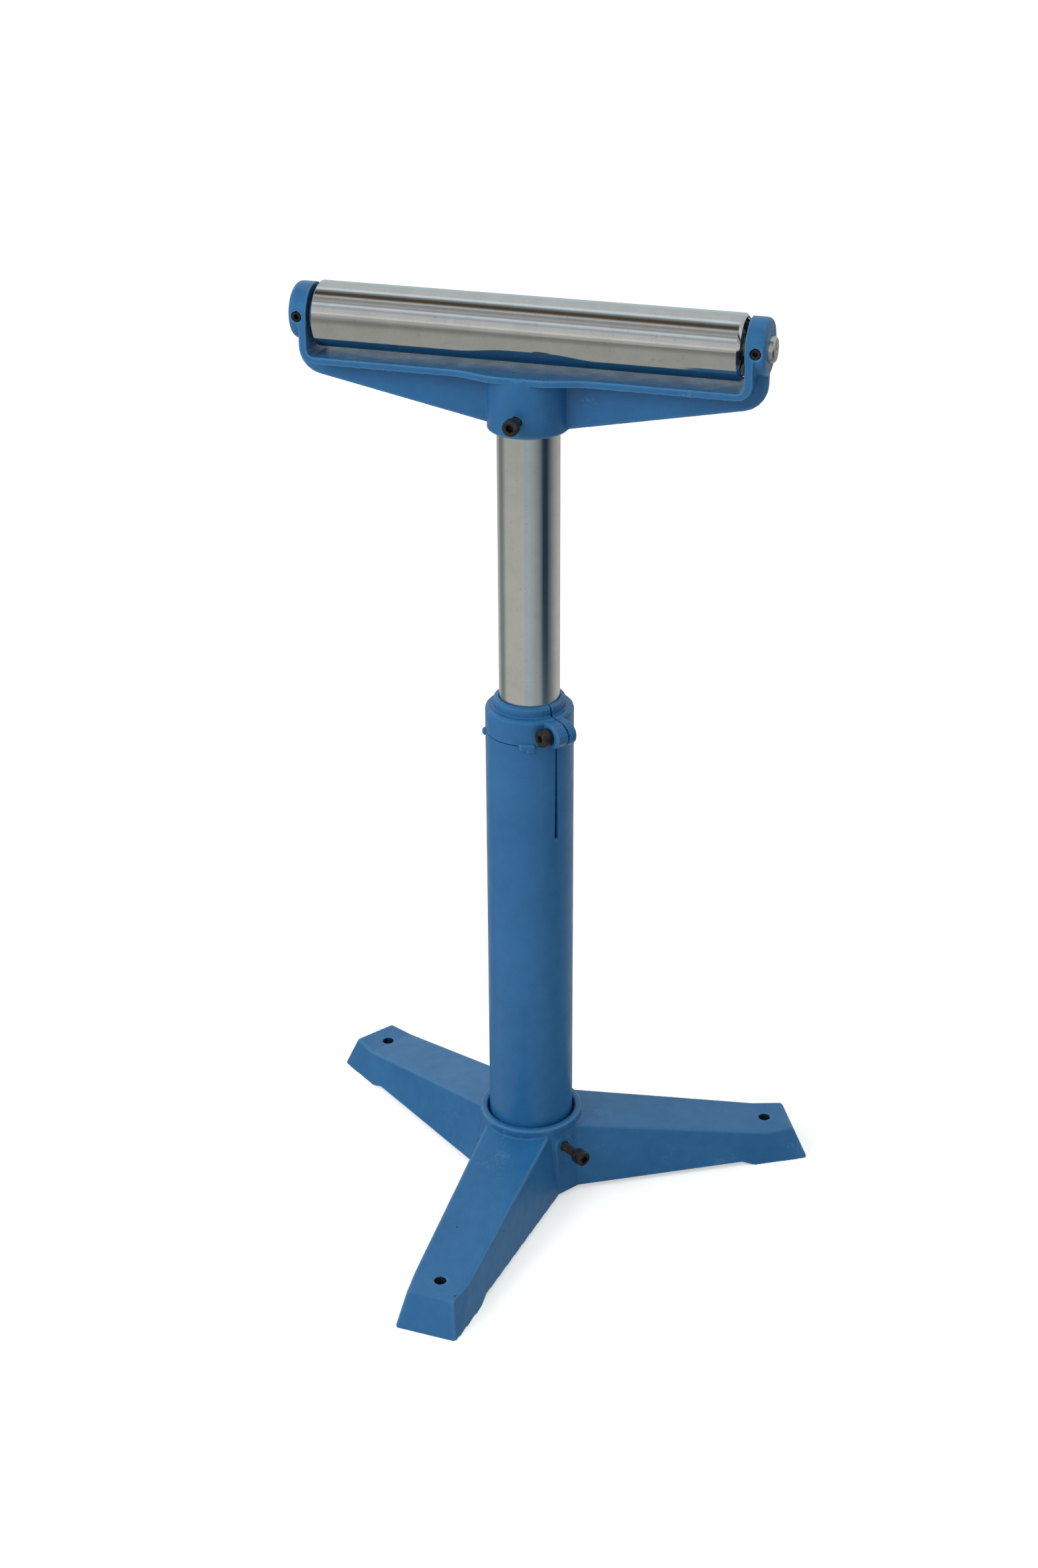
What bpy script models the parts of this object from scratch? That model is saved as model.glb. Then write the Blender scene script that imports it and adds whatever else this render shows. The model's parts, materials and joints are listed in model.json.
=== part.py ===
"""Roller stand with a cast tripod foot, a telescopic column and a ball-borne roller.

Metres, +Z up. The feet stand on z = 0 and the origin is the middle of the footprint.
One foot points to -Y; the roller lies along X, turned a little as it was left.
"""
import math

import bmesh
import bpy
from mathutils import Matrix, Vector

# Fits and facets
FIT = 0.0003              # gap on each side between pieces that touch
ROUND_STEPS = 48          # facets round a tube or the roller
EYE_STEPS = 36            # facets round an eye of the yoke
SMALL_STEPS = 24          # facets round a screw or a bearing
CORNER_STEPS = 5          # facets in a rounded corner

# Column tubes
TUBE_OD = 0.073
TUBE_WALL = 0.0045
TUBE_TOP = 0.4386
MAST_OD = 0.050
MAST_WALL = 0.0035
MAST_LENGTH = 0.490
SLIT_LENGTH = 0.087
SLIT_TOP_WIDTH = 0.0011
SLIT_FOOT_WIDTH = 0.0021
GUIDE_HEIGHT = 0.020
GUIDE_CHAMFER = 0.001

# Foot casting: radii run out from the column's axis, halves are half widths of a leg
LEG_COUNT = 3
LEG_UNDER = 0.0043        # underside of the legs above the floor
HUB_TOP = 0.063
HUB_TOP_R = 0.0445
HUB_FOOT_R = 0.052
RING_R = 0.045
RING_HEIGHT = 0.0072
RING_ROUND = 0.0016
RIDGE_R = 0.0335          # where a leg's ridge leaves the hub
RIDGE_HALF = 0.0293
LEG_DRAFT = 0.185         # how far a side leans out for its drop
PAD_TOP = 0.0305
PAD_R = 0.2103
PAD_HALF = 0.0244
TIP_TOP_R = 0.2364
TIP_TOP_HALF = 0.0205
TIP_R = 0.2493
TIP_HALF = 0.0269
PAD_HEEL_R = 0.1993
HEEL_RUN = 0.0115
LEG_WALL = 0.007
CORE_END = 0.180
CAST_ROUND = 0.0018
BOLT_HOLE = 0.010
BOLT_HOLE_R = 0.2150
SOCKET_SEAT = 0.012
SOCKET_WALL_R = 0.0465
SEAT_BORE = 0.056
MOUTH_GAP = 0.0017
MOUTH_DEPTH = 0.008
SOCKET_BOSS_HALF = 0.0112
SOCKET_BOSS_R = 0.0532    # its face at the floor
SOCKET_BOSS_DRAFT = 0.135
SOCKET_SCREW_Z = 0.0480
SOCKET_SCREW_OUT = 0.0118  # underside of its head, out from the boss's foot
SOCKET_AZIMUTH = -30.0    # the screw of the foot points this way

# Split collar on top of the outer tube
COLLAR_R = 0.0366
COLLAR_HEIGHT = 0.0218
COLLAR_SHOULDER = 0.003   # round on the top edges of body and neck
NECK_R = 0.0298
NECK_HEIGHT = 0.0084
SPIGOT_DEPTH = 0.025
COLLAR_SPLIT = 0.0013
LUG_BOLT_R = 0.0410
LUG_ROUND = 0.0105
LUG_BEVEL = 0.0015
NEAR_EAR = 0.011
FAR_EAR = 0.0085
SPOT_FACE_GAP = 0.0006    # round the screw head's seat
COLLAR_AZIMUTH = -33.0    # the split, its ears and the tube's slit face this way

# Head casting: heights from the bottom of its hub, lengths along the roller
HEAD_Z = 0.6964           # bottom of the hub as the stand was left
HEAD_TURN = 3.45
HUB_R = 0.0324
HUB_ROUND = 0.0015
CROWN = 0.0483            # top of the crossbar
CROWN_CAP = 0.009         # metal over the blind bore
CROSSBAR = 0.0056         # thickness of the crossbar
ARM = 0.0065              # and of each arm
ARM_HALF = 0.0224
ARM_CORNER = 0.0055
FLARE_HALF = 0.0316       # half width of the crossbar over the hub
FLARE_START = 0.0150      # it is widest inside this, from the column's axis
FLARE_END = 0.0560
WEB = 0.009
WEB_OUT = 0.1883
WEB_FOOT = 0.0023         # web's underside where it meets the hub
WEB_RISE = 0.0328         # web's underside at its outer end
WEB_CORNER = 0.021
WEB_ROUND = 0.0015
EYE_R = 0.0224
EYE_OUT = 0.1890
EYE_ROUND = 0.004
EYE_LIFT = 0.0015         # its middle over the axle's
EYE_PROUD = 0.0005        # its machined face inside the arm
HEAD_SCREW_Z = 0.0141
HEAD_SCREW_OUT = 0.0085

# Roller, axle and bearings
ROLLER_OD = 0.0508
ROLLER_LENGTH = 0.340
ROLLER_BORE = 0.038
ROLLER_CHAMFER = 0.0022
ROLLER_LIFT = 0.0042      # bottom of the roller over the crossbar
END_PLAY = 0.0038         # between roller and arm at each end
AXLE_OD = 0.020
AXLE_OUT = 0.0040
AXLE_CHAMFER = 0.0012
BEARING_OD = 0.042
BEARING_WIDTH = 0.012
BEARING_INSET = 0.0045    # outer face behind the roller's end
INNER_RACE_R = 0.0130
OUTER_RACE_R = 0.0180
BALL_R = 0.003175
BALL_COUNT = 9
CAGE_WIDTH = 0.0022
CAGE_THICKNESS = 0.0012
SHIELD_THICKNESS = 0.0008
SNAP_RING_R = 0.0135
SNAP_RING_THICKNESS = 0.0012
SNAP_GROOVE_DEPTH = 0.0006
SNAP_RING_GAP = 50.0      # open part of the ring, in degrees

# Screws
SCREW_OD = 0.008
SCREW_HEAD_OD = 0.013
SCREW_HEAD_HEIGHT = 0.008
SCREW_CHAMFER = 0.0008
HEX_ACROSS = 0.006
HEX_DEPTH = 0.004
SET_SCREW_HEX = 0.004
SET_SCREW_SINK = 0.0006

PAINT = (0.035, 0.125, 0.29)
STEEL = (0.55, 0.55, 0.54)
ZINC = (0.42, 0.43, 0.42)
BLACK = (0.012, 0.011, 0.011)

# Derived places
TUBE_R = TUBE_OD / 2
MAST_R = MAST_OD / 2
AXLE_R = AXLE_OD / 2
COLLAR_TOP = TUBE_TOP + COLLAR_HEIGHT + NECK_HEIGHT
BORE_TOP = CROWN - CROWN_CAP
MAST_TOP = HEAD_Z + BORE_TOP - FIT
SPIGOT_R = TUBE_R - TUBE_WALL - FIT
ARM_IN = ROLLER_LENGTH / 2 + END_PLAY
ARM_OUT = ARM_IN + ARM
AXLE_Z = CROWN + ROLLER_LIFT + ROLLER_OD / 2
SCREW_BORE_R = SCREW_OD / 2 + FIT


def clear_scene():
    for item in list(bpy.context.scene.objects):
        bpy.data.objects.remove(item, do_unlink=True)


def make_collection(name):
    group = bpy.data.collections.new(name)
    bpy.context.scene.collection.children.link(group)
    return group


def make_material(name, colour, roughness, metallic):
    material = bpy.data.materials.new(name)
    material.use_nodes = True
    shader = material.node_tree.nodes["Principled BSDF"]
    shader.inputs["Base Color"].default_value = (*colour, 1.0)
    shader.inputs["Roughness"].default_value = roughness
    shader.inputs["Metallic"].default_value = metallic
    return material


def add_object(name, mesh, material, parent):
    """Put a mesh in the stand's collection; without a material it is a cutter."""
    part = bpy.data.objects.new(name, mesh)
    part.parent = parent
    if material is None:
        cutters.objects.link(part)
        part.hide_render = True
        part.display_type = "WIRE"
    else:
        stand_parts.objects.link(part)
        mesh.materials.append(material)
    return part


def add_empty(name, parent=None, location=(0, 0, 0), turn=0.0, axis="Z"):
    frame = bpy.data.objects.new(name, None)
    stand_parts.objects.link(frame)
    frame.empty_display_size = 0.03
    frame.parent = parent
    frame.location = location
    frame.rotation_euler["XYZ".index(axis)] = math.radians(turn)
    return frame


def finish_mesh(bm, name, sharp=35.0):
    bmesh.ops.recalc_face_normals(bm, faces=bm.faces)
    mesh = bpy.data.meshes.new(name)
    bm.to_mesh(mesh)
    bm.free()
    mesh.shade_smooth()
    mesh.set_sharp_from_angle(angle=math.radians(sharp))
    return mesh


def turned(name, outline, material, parent, steps=ROUND_STEPS, closed=False):
    """Revolve (radius, height) points about Z; they run down the outer side first."""
    bm = bmesh.new()
    points = [bm.verts.new((radius, 0, height)) for radius, height in outline]
    for start, end in zip(points, points[1:]):
        bm.edges.new((start, end))
    if closed:
        bm.edges.new((points[-1], points[0]))
    section = bpy.data.meshes.new("section")
    bm.to_mesh(section)
    bm.free()
    profile = bpy.data.objects.new("section", section)
    cutters.objects.link(profile)
    screw = profile.modifiers.new("Turned", "SCREW")
    screw.steps = steps
    screw.render_steps = steps
    screw.use_merge_vertices = True
    screw.merge_threshold = 0.00001
    solid = bpy.data.meshes.new_from_object(
        profile.evaluated_get(bpy.context.evaluated_depsgraph_get()))
    bpy.data.objects.remove(profile)
    bm = bmesh.new()
    bm.from_mesh(solid)
    return add_object(name, finish_mesh(bm, name), material, parent)


def ring(name, outer, inner, bottom, top, material, parent, steps=ROUND_STEPS, chamfer=0.0):
    """Plain turned ring with its outer edges chamfered."""
    section = [(outer, top - chamfer), (outer, bottom + chamfer)]
    if chamfer:
        section = [(outer - chamfer, top)] + section + [(outer - chamfer, bottom)]
    section += [(inner, bottom), (inner, top)]
    return turned(name, section, material, parent, steps, closed=True)


def arc(centre_x, centre_z, radius, start, end, steps=CORNER_STEPS):
    """Points on an arc from start to end degrees, both included."""
    angles = [math.radians(start + (end - start) * i / steps) for i in range(steps + 1)]
    return [(centre_x + radius * math.cos(a), centre_z + radius * math.sin(a)) for a in angles]


def prism(outline, start, end, plane="XZ"):
    """Flat outline raised to a solid: in XZ it runs along Y, in XY along Z, in YZ along X."""
    place = {
        "XZ": lambda u, v, w: (u, w, v),
        "XY": lambda u, v, w: (u, v, w),
        "YZ": lambda u, v, w: (w, u, v),
    }[plane]
    bm = bmesh.new()
    face = bm.faces.new([bm.verts.new(place(u, v, start)) for u, v in outline])
    rise = Vector(place(0, 0, end)) - Vector(place(0, 0, start))
    raised = bmesh.ops.extrude_face_region(bm, geom=[face])
    moved = [item for item in raised["geom"] if isinstance(item, bmesh.types.BMVert)]
    bmesh.ops.translate(bm, verts=moved, vec=rise)
    bmesh.ops.recalc_face_normals(bm, faces=bm.faces)
    return bm


def cut_flat(bm, point, normal):
    """Take away what lies beyond a plane and close the cut."""
    whole = bm.verts[:] + bm.edges[:] + bm.faces[:]
    cut = bmesh.ops.bisect_plane(
        bm, geom=whole, dist=1e-7, plane_co=point, plane_no=normal, clear_outer=True)
    rim = [item for item in cut["geom_cut"] if isinstance(item, bmesh.types.BMEdge)]
    bmesh.ops.contextual_create(bm, geom=rim)


def round_edges(bm, width, wanted, segments=2):
    """Round the sharp edges whose middle passes the test."""
    edges = []
    for edge in bm.edges:
        middle = (edge.verts[0].co + edge.verts[1].co) / 2
        if edge.calc_face_angle(0.0) > math.radians(20) and wanted(middle):
            edges.append(edge)
    bmesh.ops.bevel(
        bm, geom=edges, offset=width, segments=segments, profile=0.5, affect="EDGES")


def combine(part, operation, others):
    """Join the others to a part, or cut them from it, all in one step."""
    group = bpy.data.collections.new(f"{operation.lower()} of {part.name}")
    cutters.children.link(group)
    for other in others:
        group.objects.link(other)
        cutters.objects.unlink(other)
    step = part.modifiers.new(operation.title(), "BOOLEAN")
    step.operation = operation
    step.solver = "EXACT"
    step.operand_type = "COLLECTION"
    step.collection = group


def drill(name, radius, start, end, parent, location=(0, 0, 0), axis="Z"):
    """Cutter for a round hole along an axis of the parent, between two places on it."""
    hole = turned(name, [(0, end), (radius, end), (radius, start), (0, start)], None, parent,
                  steps=SMALL_STEPS)
    hole.location = location
    hole.rotation_euler = {
        "X": (0, math.radians(90), 0),
        "-X": (0, math.radians(-90), 0),
        "Y": (math.radians(-90), 0, 0),
        "-Y": (math.radians(90), 0, 0),
        "Z": (0, 0, 0),
    }[axis]
    return hole


def leg_sides(inset):
    """Outward planes of a leg's long side and of its narrowing foot, moved in by a wall."""
    fall = RIDGE_HALF + LEG_DRAFT * HUB_TOP - PAD_HALF - LEG_DRAFT * PAD_TOP
    long_normal = Vector((fall / (PAD_R - RIDGE_R), 1, LEG_DRAFT)).normalized()
    kink = Vector((PAD_R, PAD_HALF, PAD_TOP))
    tip_top = Vector((TIP_TOP_R, TIP_TOP_HALF, PAD_TOP))
    tip = Vector((TIP_R, TIP_HALF, 0))
    foot_normal = (tip_top - kink).cross(tip - kink).normalized()
    return [(kink - inset * long_normal, long_normal), (kink - inset * foot_normal, foot_normal)]


def trim_leg(bm, inset):
    for point, normal in leg_sides(inset):
        cut_flat(bm, point, normal)
        mirrored = Vector((1, -1, 1))
        cut_flat(bm, point * mirrored, normal * mirrored)


def leg_blank():
    """A leg from the column's axis to its toe, with level pad and drafted sides."""
    slope = (HUB_TOP - PAD_TOP) / (PAD_R - RIDGE_R)
    outline = [
        (0, HUB_TOP + slope * RIDGE_R),
        (PAD_R, PAD_TOP),
        (TIP_TOP_R, PAD_TOP),
        (TIP_R, 0),
        (0, 0),
    ]
    width = 2 * HUB_FOOT_R
    bm = prism(outline, -width, width)
    trim_leg(bm, 0)
    round_edges(bm, CAST_ROUND, lambda middle: middle.x > RIDGE_R and middle.z > LEG_UNDER)
    return finish_mesh(bm, "leg blank")


def leg_core():
    """The hollow under a leg, one wall inside it."""
    slope = (HUB_TOP - PAD_TOP) / (PAD_R - RIDGE_R)
    drop = LEG_WALL * math.hypot(1, slope)
    under = -LEG_UNDER
    outline = [
        (RIDGE_R, HUB_TOP - drop),
        (CORE_END, PAD_TOP + slope * (PAD_R - CORE_END) - drop),
        (CORE_END + LEG_DRAFT * PAD_TOP, under),
        (RIDGE_R, under),
    ]
    width = 2 * HUB_FOOT_R
    bm = prism(outline, -width, width)
    trim_leg(bm, LEG_WALL)
    return finish_mesh(bm, "leg core")


def build_base(clamp_side):
    """Tripod foot casting: hub with a socket, three cored legs and the boss of its screw."""
    ring_top = HUB_TOP + RING_HEIGHT
    hub = [(0, ring_top)]
    hub += arc(RING_R - RING_ROUND, ring_top - RING_ROUND, RING_ROUND, 90, 0, 2)
    hub += [(RING_R, HUB_TOP + FIT), (HUB_TOP_R, HUB_TOP), (HUB_FOOT_R, LEG_UNDER / 2)]
    hub += [(0, LEG_UNDER / 2)]
    base = turned("base_casting", hub, paint, stand)
    blank = leg_blank()
    core = leg_core()
    joined = [socket_boss(clamp_side)]
    cut = [underside(), socket_bore(ring_top)]
    cut.append(drill("socket screw hole", SCREW_BORE_R, MAST_R, 2 * SOCKET_BOSS_R, clamp_side,
                     (0, 0, SOCKET_SCREW_Z), "X"))
    for number in range(LEG_COUNT):
        direction = add_empty(f"leg {number + 1}", stand, turn=-90 + number * 360 / LEG_COUNT)
        joined.append(add_object(f"leg blank {number + 1}", blank, None, direction))
        hollow = add_object(f"leg core {number + 1}", core, None, direction)
        wall = turned(f"socket wall {number + 1}", [
            (0, ring_top),
            (SOCKET_WALL_R, ring_top),
            (SOCKET_WALL_R, -HUB_TOP),
            (0, -HUB_TOP),
        ], None, stand)
        combine(hollow, "DIFFERENCE", [wall])
        cut.append(hollow)
        cut.append(drill(f"bolt hole {number + 1}", BOLT_HOLE / 2, -PAD_TOP, 2 * PAD_TOP, direction,
                         (BOLT_HOLE_R, 0, 0)))
    combine(base, "UNION", joined)
    combine(base, "DIFFERENCE", cut)
    return base


def socket_bore(ring_top):
    """Bore for the outer tube: wide mouth, close fit and a ledge that the tube stands on."""
    mouth = TUBE_R + MOUTH_GAP
    return turned("socket bore", [
        (0, ring_top + MOUTH_GAP),
        (mouth + RING_ROUND + MOUTH_GAP, ring_top + MOUTH_GAP),
        (mouth, ring_top - RING_ROUND),
        (mouth, ring_top - MOUTH_DEPTH),
        (TUBE_R + FIT, ring_top - MOUTH_DEPTH - MOUTH_GAP),
        (TUBE_R + FIT, SOCKET_SEAT),
        (SEAT_BORE / 2, SOCKET_SEAT),
        (SEAT_BORE / 2, -2 * LEG_UNDER),
        (0, -2 * LEG_UNDER),
    ], None, stand)


def underside():
    """Shallow three-sided recess that leaves only the pads on the floor."""
    slope = HEEL_RUN / LEG_UNDER
    bm = bmesh.new()
    bmesh.ops.create_cone(
        bm, cap_ends=True, segments=LEG_COUNT, depth=2 * LEG_UNDER,
        radius1=(PAD_HEEL_R + slope * LEG_UNDER) / math.cos(math.pi / LEG_COUNT),
        radius2=(PAD_HEEL_R - HEEL_RUN) / math.cos(math.pi / LEG_COUNT))
    return add_object("underside recess", finish_mesh(bm, "underside recess"), None, stand)


def socket_boss(clamp_side):
    """Arched pad with a drafted face on the hub, which the socket's screw goes through."""
    foot = LEG_UNDER / 3
    outline = [(SOCKET_BOSS_HALF, foot)]
    outline += arc(0, SOCKET_SCREW_Z, SOCKET_BOSS_HALF, 0, 180, 2 * CORNER_STEPS)
    outline += [(-SOCKET_BOSS_HALF, foot)]
    bm = prism(outline, SOCKET_WALL_R - 2 * LEG_WALL, SOCKET_BOSS_R + FIT, "YZ")
    cut_flat(bm, (SOCKET_BOSS_R, 0, 0), (1, 0, SOCKET_BOSS_DRAFT))
    round_edges(bm, CAST_ROUND, lambda middle: middle.z > LEG_UNDER and (
        middle.x > SOCKET_BOSS_R - SOCKET_BOSS_DRAFT * middle.z - FIT))
    return add_object("socket boss", finish_mesh(bm, "socket boss"), None, clamp_side)


def build_outer_tube(clamp_side):
    """Column tube with the slit that lets its top close with the collar."""
    tube = ring("outer_tube", TUBE_R, TUBE_R - TUBE_WALL, SOCKET_SEAT + FIT, TUBE_TOP - FIT,
                paint, stand)
    outline = [
        (SLIT_TOP_WIDTH / 2, TUBE_TOP + SLIT_TOP_WIDTH),
        (-SLIT_TOP_WIDTH / 2, TUBE_TOP + SLIT_TOP_WIDTH),
        (-SLIT_FOOT_WIDTH / 2, TUBE_TOP - SLIT_LENGTH),
        (SLIT_FOOT_WIDTH / 2, TUBE_TOP - SLIT_LENGTH),
    ]
    bm = prism(outline, TUBE_R - 2 * TUBE_WALL, TUBE_R + TUBE_WALL, "YZ")
    combine(tube, "DIFFERENCE", [add_object("slit", finish_mesh(bm, "slit"), None, clamp_side)])


def build_collar(clamp_side):
    """Split clamp ring: spigot in the tube, body on its end, neck and two ears."""
    body_top = TUBE_TOP + COLLAR_HEIGHT
    bore_r = MAST_R + FIT
    section = arc(NECK_R - COLLAR_SHOULDER, COLLAR_TOP - COLLAR_SHOULDER, COLLAR_SHOULDER, 90, 0, 3)
    section += [(NECK_R, body_top)]
    section += arc(COLLAR_R - COLLAR_SHOULDER, body_top - COLLAR_SHOULDER, COLLAR_SHOULDER, 90, 0, 3)
    section += [
        (COLLAR_R, TUBE_TOP),
        (SPIGOT_R, TUBE_TOP),
        (SPIGOT_R, TUBE_TOP - SPIGOT_DEPTH),
        (bore_r, TUBE_TOP - SPIGOT_DEPTH),
        (bore_r, COLLAR_TOP),
    ]
    collar = turned("clamp_collar", section, paint, stand, closed=True)
    bolt_z = TUBE_TOP + LUG_ROUND
    inside = (bore_r + COLLAR_R) / 2
    ears = [(inside, TUBE_TOP), (LUG_BOLT_R, TUBE_TOP)]
    ears += arc(LUG_BOLT_R, bolt_z, LUG_ROUND, -90, 90, 2 * CORNER_STEPS)[1:]
    ears += [(inside, bolt_z + LUG_ROUND)]
    bm = prism(ears, -NEAR_EAR, FAR_EAR)
    round_edges(bm, LUG_BEVEL, lambda middle: middle.x > inside + FIT, 1)
    combine(collar, "UNION", [add_object("ears", finish_mesh(bm, "ears"), None, clamp_side)])
    reach = LUG_BOLT_R + 2 * LUG_ROUND
    flat = [(inside - COLLAR_R / 2, TUBE_TOP - 2 * SPIGOT_DEPTH), (reach, TUBE_TOP - 2 * SPIGOT_DEPTH),
            (reach, COLLAR_TOP + LUG_ROUND), (inside - COLLAR_R / 2, COLLAR_TOP + LUG_ROUND)]
    split = finish_mesh(prism(flat, -COLLAR_SPLIT / 2, COLLAR_SPLIT / 2), "split")
    hole = drill("ear hole", SCREW_BORE_R, -2 * NEAR_EAR, 2 * FAR_EAR, clamp_side,
                 (LUG_BOLT_R, 0, bolt_z), "Y")
    seat = drill("ear spot face", SCREW_HEAD_OD / 2 + SPOT_FACE_GAP, -2 * COLLAR_R, -NEAR_EAR,
                 clamp_side, (LUG_BOLT_R, 0, bolt_z), "Y")
    combine(collar, "DIFFERENCE", [add_object("split", split, None, clamp_side), hole, seat])
    screw = cap_screw("collar_clamp_screw", NEAR_EAR + FAR_EAR, clamp_side)
    screw.location = (LUG_BOLT_R, -NEAR_EAR - FIT, bolt_z)
    screw.rotation_euler = (math.radians(90), 0, 0)


def cap_screw(name, length, parent):
    """Socket head screw along Z: the origin is under its head, which points up."""
    shank = SCREW_OD / 2
    head = SCREW_HEAD_OD / 2
    screw = turned(name, [
        (0, SCREW_HEAD_HEIGHT),
        (head - SCREW_CHAMFER, SCREW_HEAD_HEIGHT),
        (head, SCREW_HEAD_HEIGHT - SCREW_CHAMFER),
        (head, 0),
        (shank, 0),
        (shank, SCREW_CHAMFER - length),
        (shank - SCREW_CHAMFER, -length),
        (0, -length),
    ], black_steel, parent, steps=SMALL_STEPS)
    hex_socket(screw, HEX_ACROSS, SCREW_HEAD_HEIGHT)
    return screw


def hex_socket(screw, across, top):
    """Six-sided recess from a screw's top face down."""
    bm = bmesh.new()
    bmesh.ops.create_cone(
        bm, cap_ends=True, segments=6, radius1=across / math.sqrt(3), radius2=across / math.sqrt(3),
        depth=2 * HEX_DEPTH, matrix=Matrix.Translation((0, 0, top)))
    cutter = add_object(f"hex of {screw.name}", finish_mesh(bm, "hex"), None, screw)
    combine(screw, "DIFFERENCE", [cutter])


def build_mast(mast):
    """Inner tube and the ring at its foot that runs in the outer tube."""
    foot = MAST_TOP - MAST_LENGTH
    ring("inner_tube", MAST_R, MAST_R - MAST_WALL, foot - HEAD_Z, MAST_TOP - HEAD_Z,
         bright_steel, mast)
    ring("tube_guide_ring", SPIGOT_R, MAST_R + FIT, foot - HEAD_Z, foot + GUIDE_HEIGHT - HEAD_Z,
         bright_steel, mast, chamfer=GUIDE_CHAMFER)


def yoke_plate(head):
    """U-shaped plate: crossbar and both arms, trimmed to a plan that widens at the hub."""
    outer_corner = ARM_CORNER + ARM
    half = [(ARM_IN, AXLE_Z)]
    half += arc(ARM_IN - ARM_CORNER, CROWN + ARM_CORNER, ARM_CORNER, 0, -90)
    under = arc(ARM_OUT - outer_corner, CROWN - CROSSBAR + outer_corner, outer_corner, -90, 0)
    under += [(ARM_OUT, AXLE_Z)]
    outline = half + [(-x, z) for x, z in reversed(half)]
    outline += [(-x, z) for x, z in reversed(under)] + under
    bm = prism(outline, -2 * HUB_R, 2 * HUB_R)
    plate = add_object("yoke plate", finish_mesh(bm, "yoke plate"), None, head)
    bm = prism(plan_outline(), 0, 2 * AXLE_Z, "XY")
    combine(plate, "INTERSECT", [add_object("yoke plan", finish_mesh(bm, "plan"), None, head)])
    return plate


def plan_outline():
    """The yoke from above: parallel arms whose edges sweep out to the hub in S-curves."""
    steps = 2 * CORNER_STEPS
    flare = FLARE_HALF - ARM_HALF
    side = [(EYE_OUT, -ARM_HALF)]
    for i in range(steps + 1):
        share = i / steps
        reach = ARM_HALF + flare * (1 - math.cos(math.pi * share)) / 2
        side.append((FLARE_END + share * (FLARE_START - FLARE_END), -reach))
    side += [(-x, y) for x, y in reversed(side)]
    return side + [(x, -y) for x, y in reversed(side)]


def yoke_web():
    """Rib under the crossbar and up the back of each arm."""
    slope = (WEB_RISE - WEB_FOOT) / (WEB_OUT - HUB_R)
    turn = math.degrees(math.atan(slope))
    lean = math.radians(turn)
    centre_x = WEB_OUT - WEB_CORNER
    centre_z = WEB_FOOT + slope * (centre_x - HUB_R) + WEB_CORNER / math.cos(lean)
    half = [(HUB_R, WEB_FOOT)]
    half += arc(centre_x, centre_z, WEB_CORNER, -90 + turn, 0)
    top = AXLE_Z + EYE_R / 4
    half += [(WEB_OUT, top), (ARM_IN + ARM / 2, top), (ARM_IN + ARM / 2, CROWN - CROSSBAR / 2)]
    outline = half + [(-x, z) for x, z in reversed(half)]
    bm = prism(outline, -WEB / 2, WEB / 2)
    round_edges(bm, WEB_ROUND, lambda middle: abs(middle.y) > WEB / 2 - FIT, 1)
    return finish_mesh(bm, "yoke web")


def build_head(head):
    """Head casting: hub, T-section crossbar, two arms and the eyes that hold the axle."""
    hub_top = CROWN - CROSSBAR / 3
    casting = turned("head_casting", [
        (0, hub_top),
        (HUB_R, hub_top),
        (HUB_R, HUB_ROUND),
        (HUB_R - HUB_ROUND, 0),
        (0, 0),
    ], paint, head)
    bore = turned("mast bore", [(0, BORE_TOP), (MAST_R + FIT, BORE_TOP), (MAST_R + FIT, -HUB_R),
                                (0, -HUB_R)], None, head)
    joined = [yoke_plate(head), add_object("yoke web", yoke_web(), None, head)]
    cut = [bore, drill("head screw hole", SCREW_BORE_R, AXLE_R, 2 * HUB_R, head,
                       (0, 0, HEAD_SCREW_Z), "-Y")]
    for side, facing in (("left", -1), ("right", 1)):
        middle = (facing * (ARM_IN + EYE_OUT) / 2, 0, AXLE_Z + EYE_LIFT)
        joined.append(build_eye(side, facing, head))
        cut.append(drill(f"axle hole {side}", AXLE_R + FIT, ARM_IN - ARM, 2 * EYE_OUT, head,
                         (0, 0, AXLE_Z), "X" if facing > 0 else "-X"))
        cut.append(drill(f"set screw hole {side}", SCREW_BORE_R, 0, 2 * EYE_R, head, middle, "-Y"))
        set_screw(f"axle_set_screw_{side}", head, middle)
    combine(casting, "UNION", joined)
    combine(casting, "DIFFERENCE", cut)
    screw = cap_screw("head_clamp_screw", HUB_R + HEAD_SCREW_OUT - MAST_R - FIT, head)
    screw.location = (0, -HUB_R - HEAD_SCREW_OUT, HEAD_SCREW_Z)
    screw.rotation_euler = (math.radians(90), 0, 0)


def build_eye(side, facing, head):
    """Round boss on an arm that holds an end of the axle."""
    length = EYE_OUT - ARM_IN + EYE_PROUD
    outline = [(0, length)]
    outline += arc(EYE_R - EYE_ROUND, length - EYE_ROUND, EYE_ROUND, 90, 0, 3)
    outline += [(EYE_R, 0), (0, 0)]
    eye = turned(f"eye {side}", outline, None, head, steps=EYE_STEPS)
    eye.location = (facing * (ARM_IN - EYE_PROUD), 0, AXLE_Z + EYE_LIFT)
    eye.rotation_euler = (0, math.radians(90 * facing), 0)
    return eye


def set_screw(name, head, place):
    """Headless screw from the front of an eye to the axle."""
    tip = AXLE_R + FIT
    end = EYE_R - SET_SCREW_SINK
    radius = SCREW_OD / 2
    screw = turned(name, [
        (0, end),
        (radius - SCREW_CHAMFER, end),
        (radius, end - SCREW_CHAMFER),
        (radius, tip + SCREW_CHAMFER),
        (radius - SCREW_CHAMFER, tip),
        (0, tip),
    ], black_steel, head, steps=SMALL_STEPS)
    screw.location = place
    screw.rotation_euler = (math.radians(90), 0, 0)
    hex_socket(screw, SET_SCREW_HEX, end)


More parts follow.
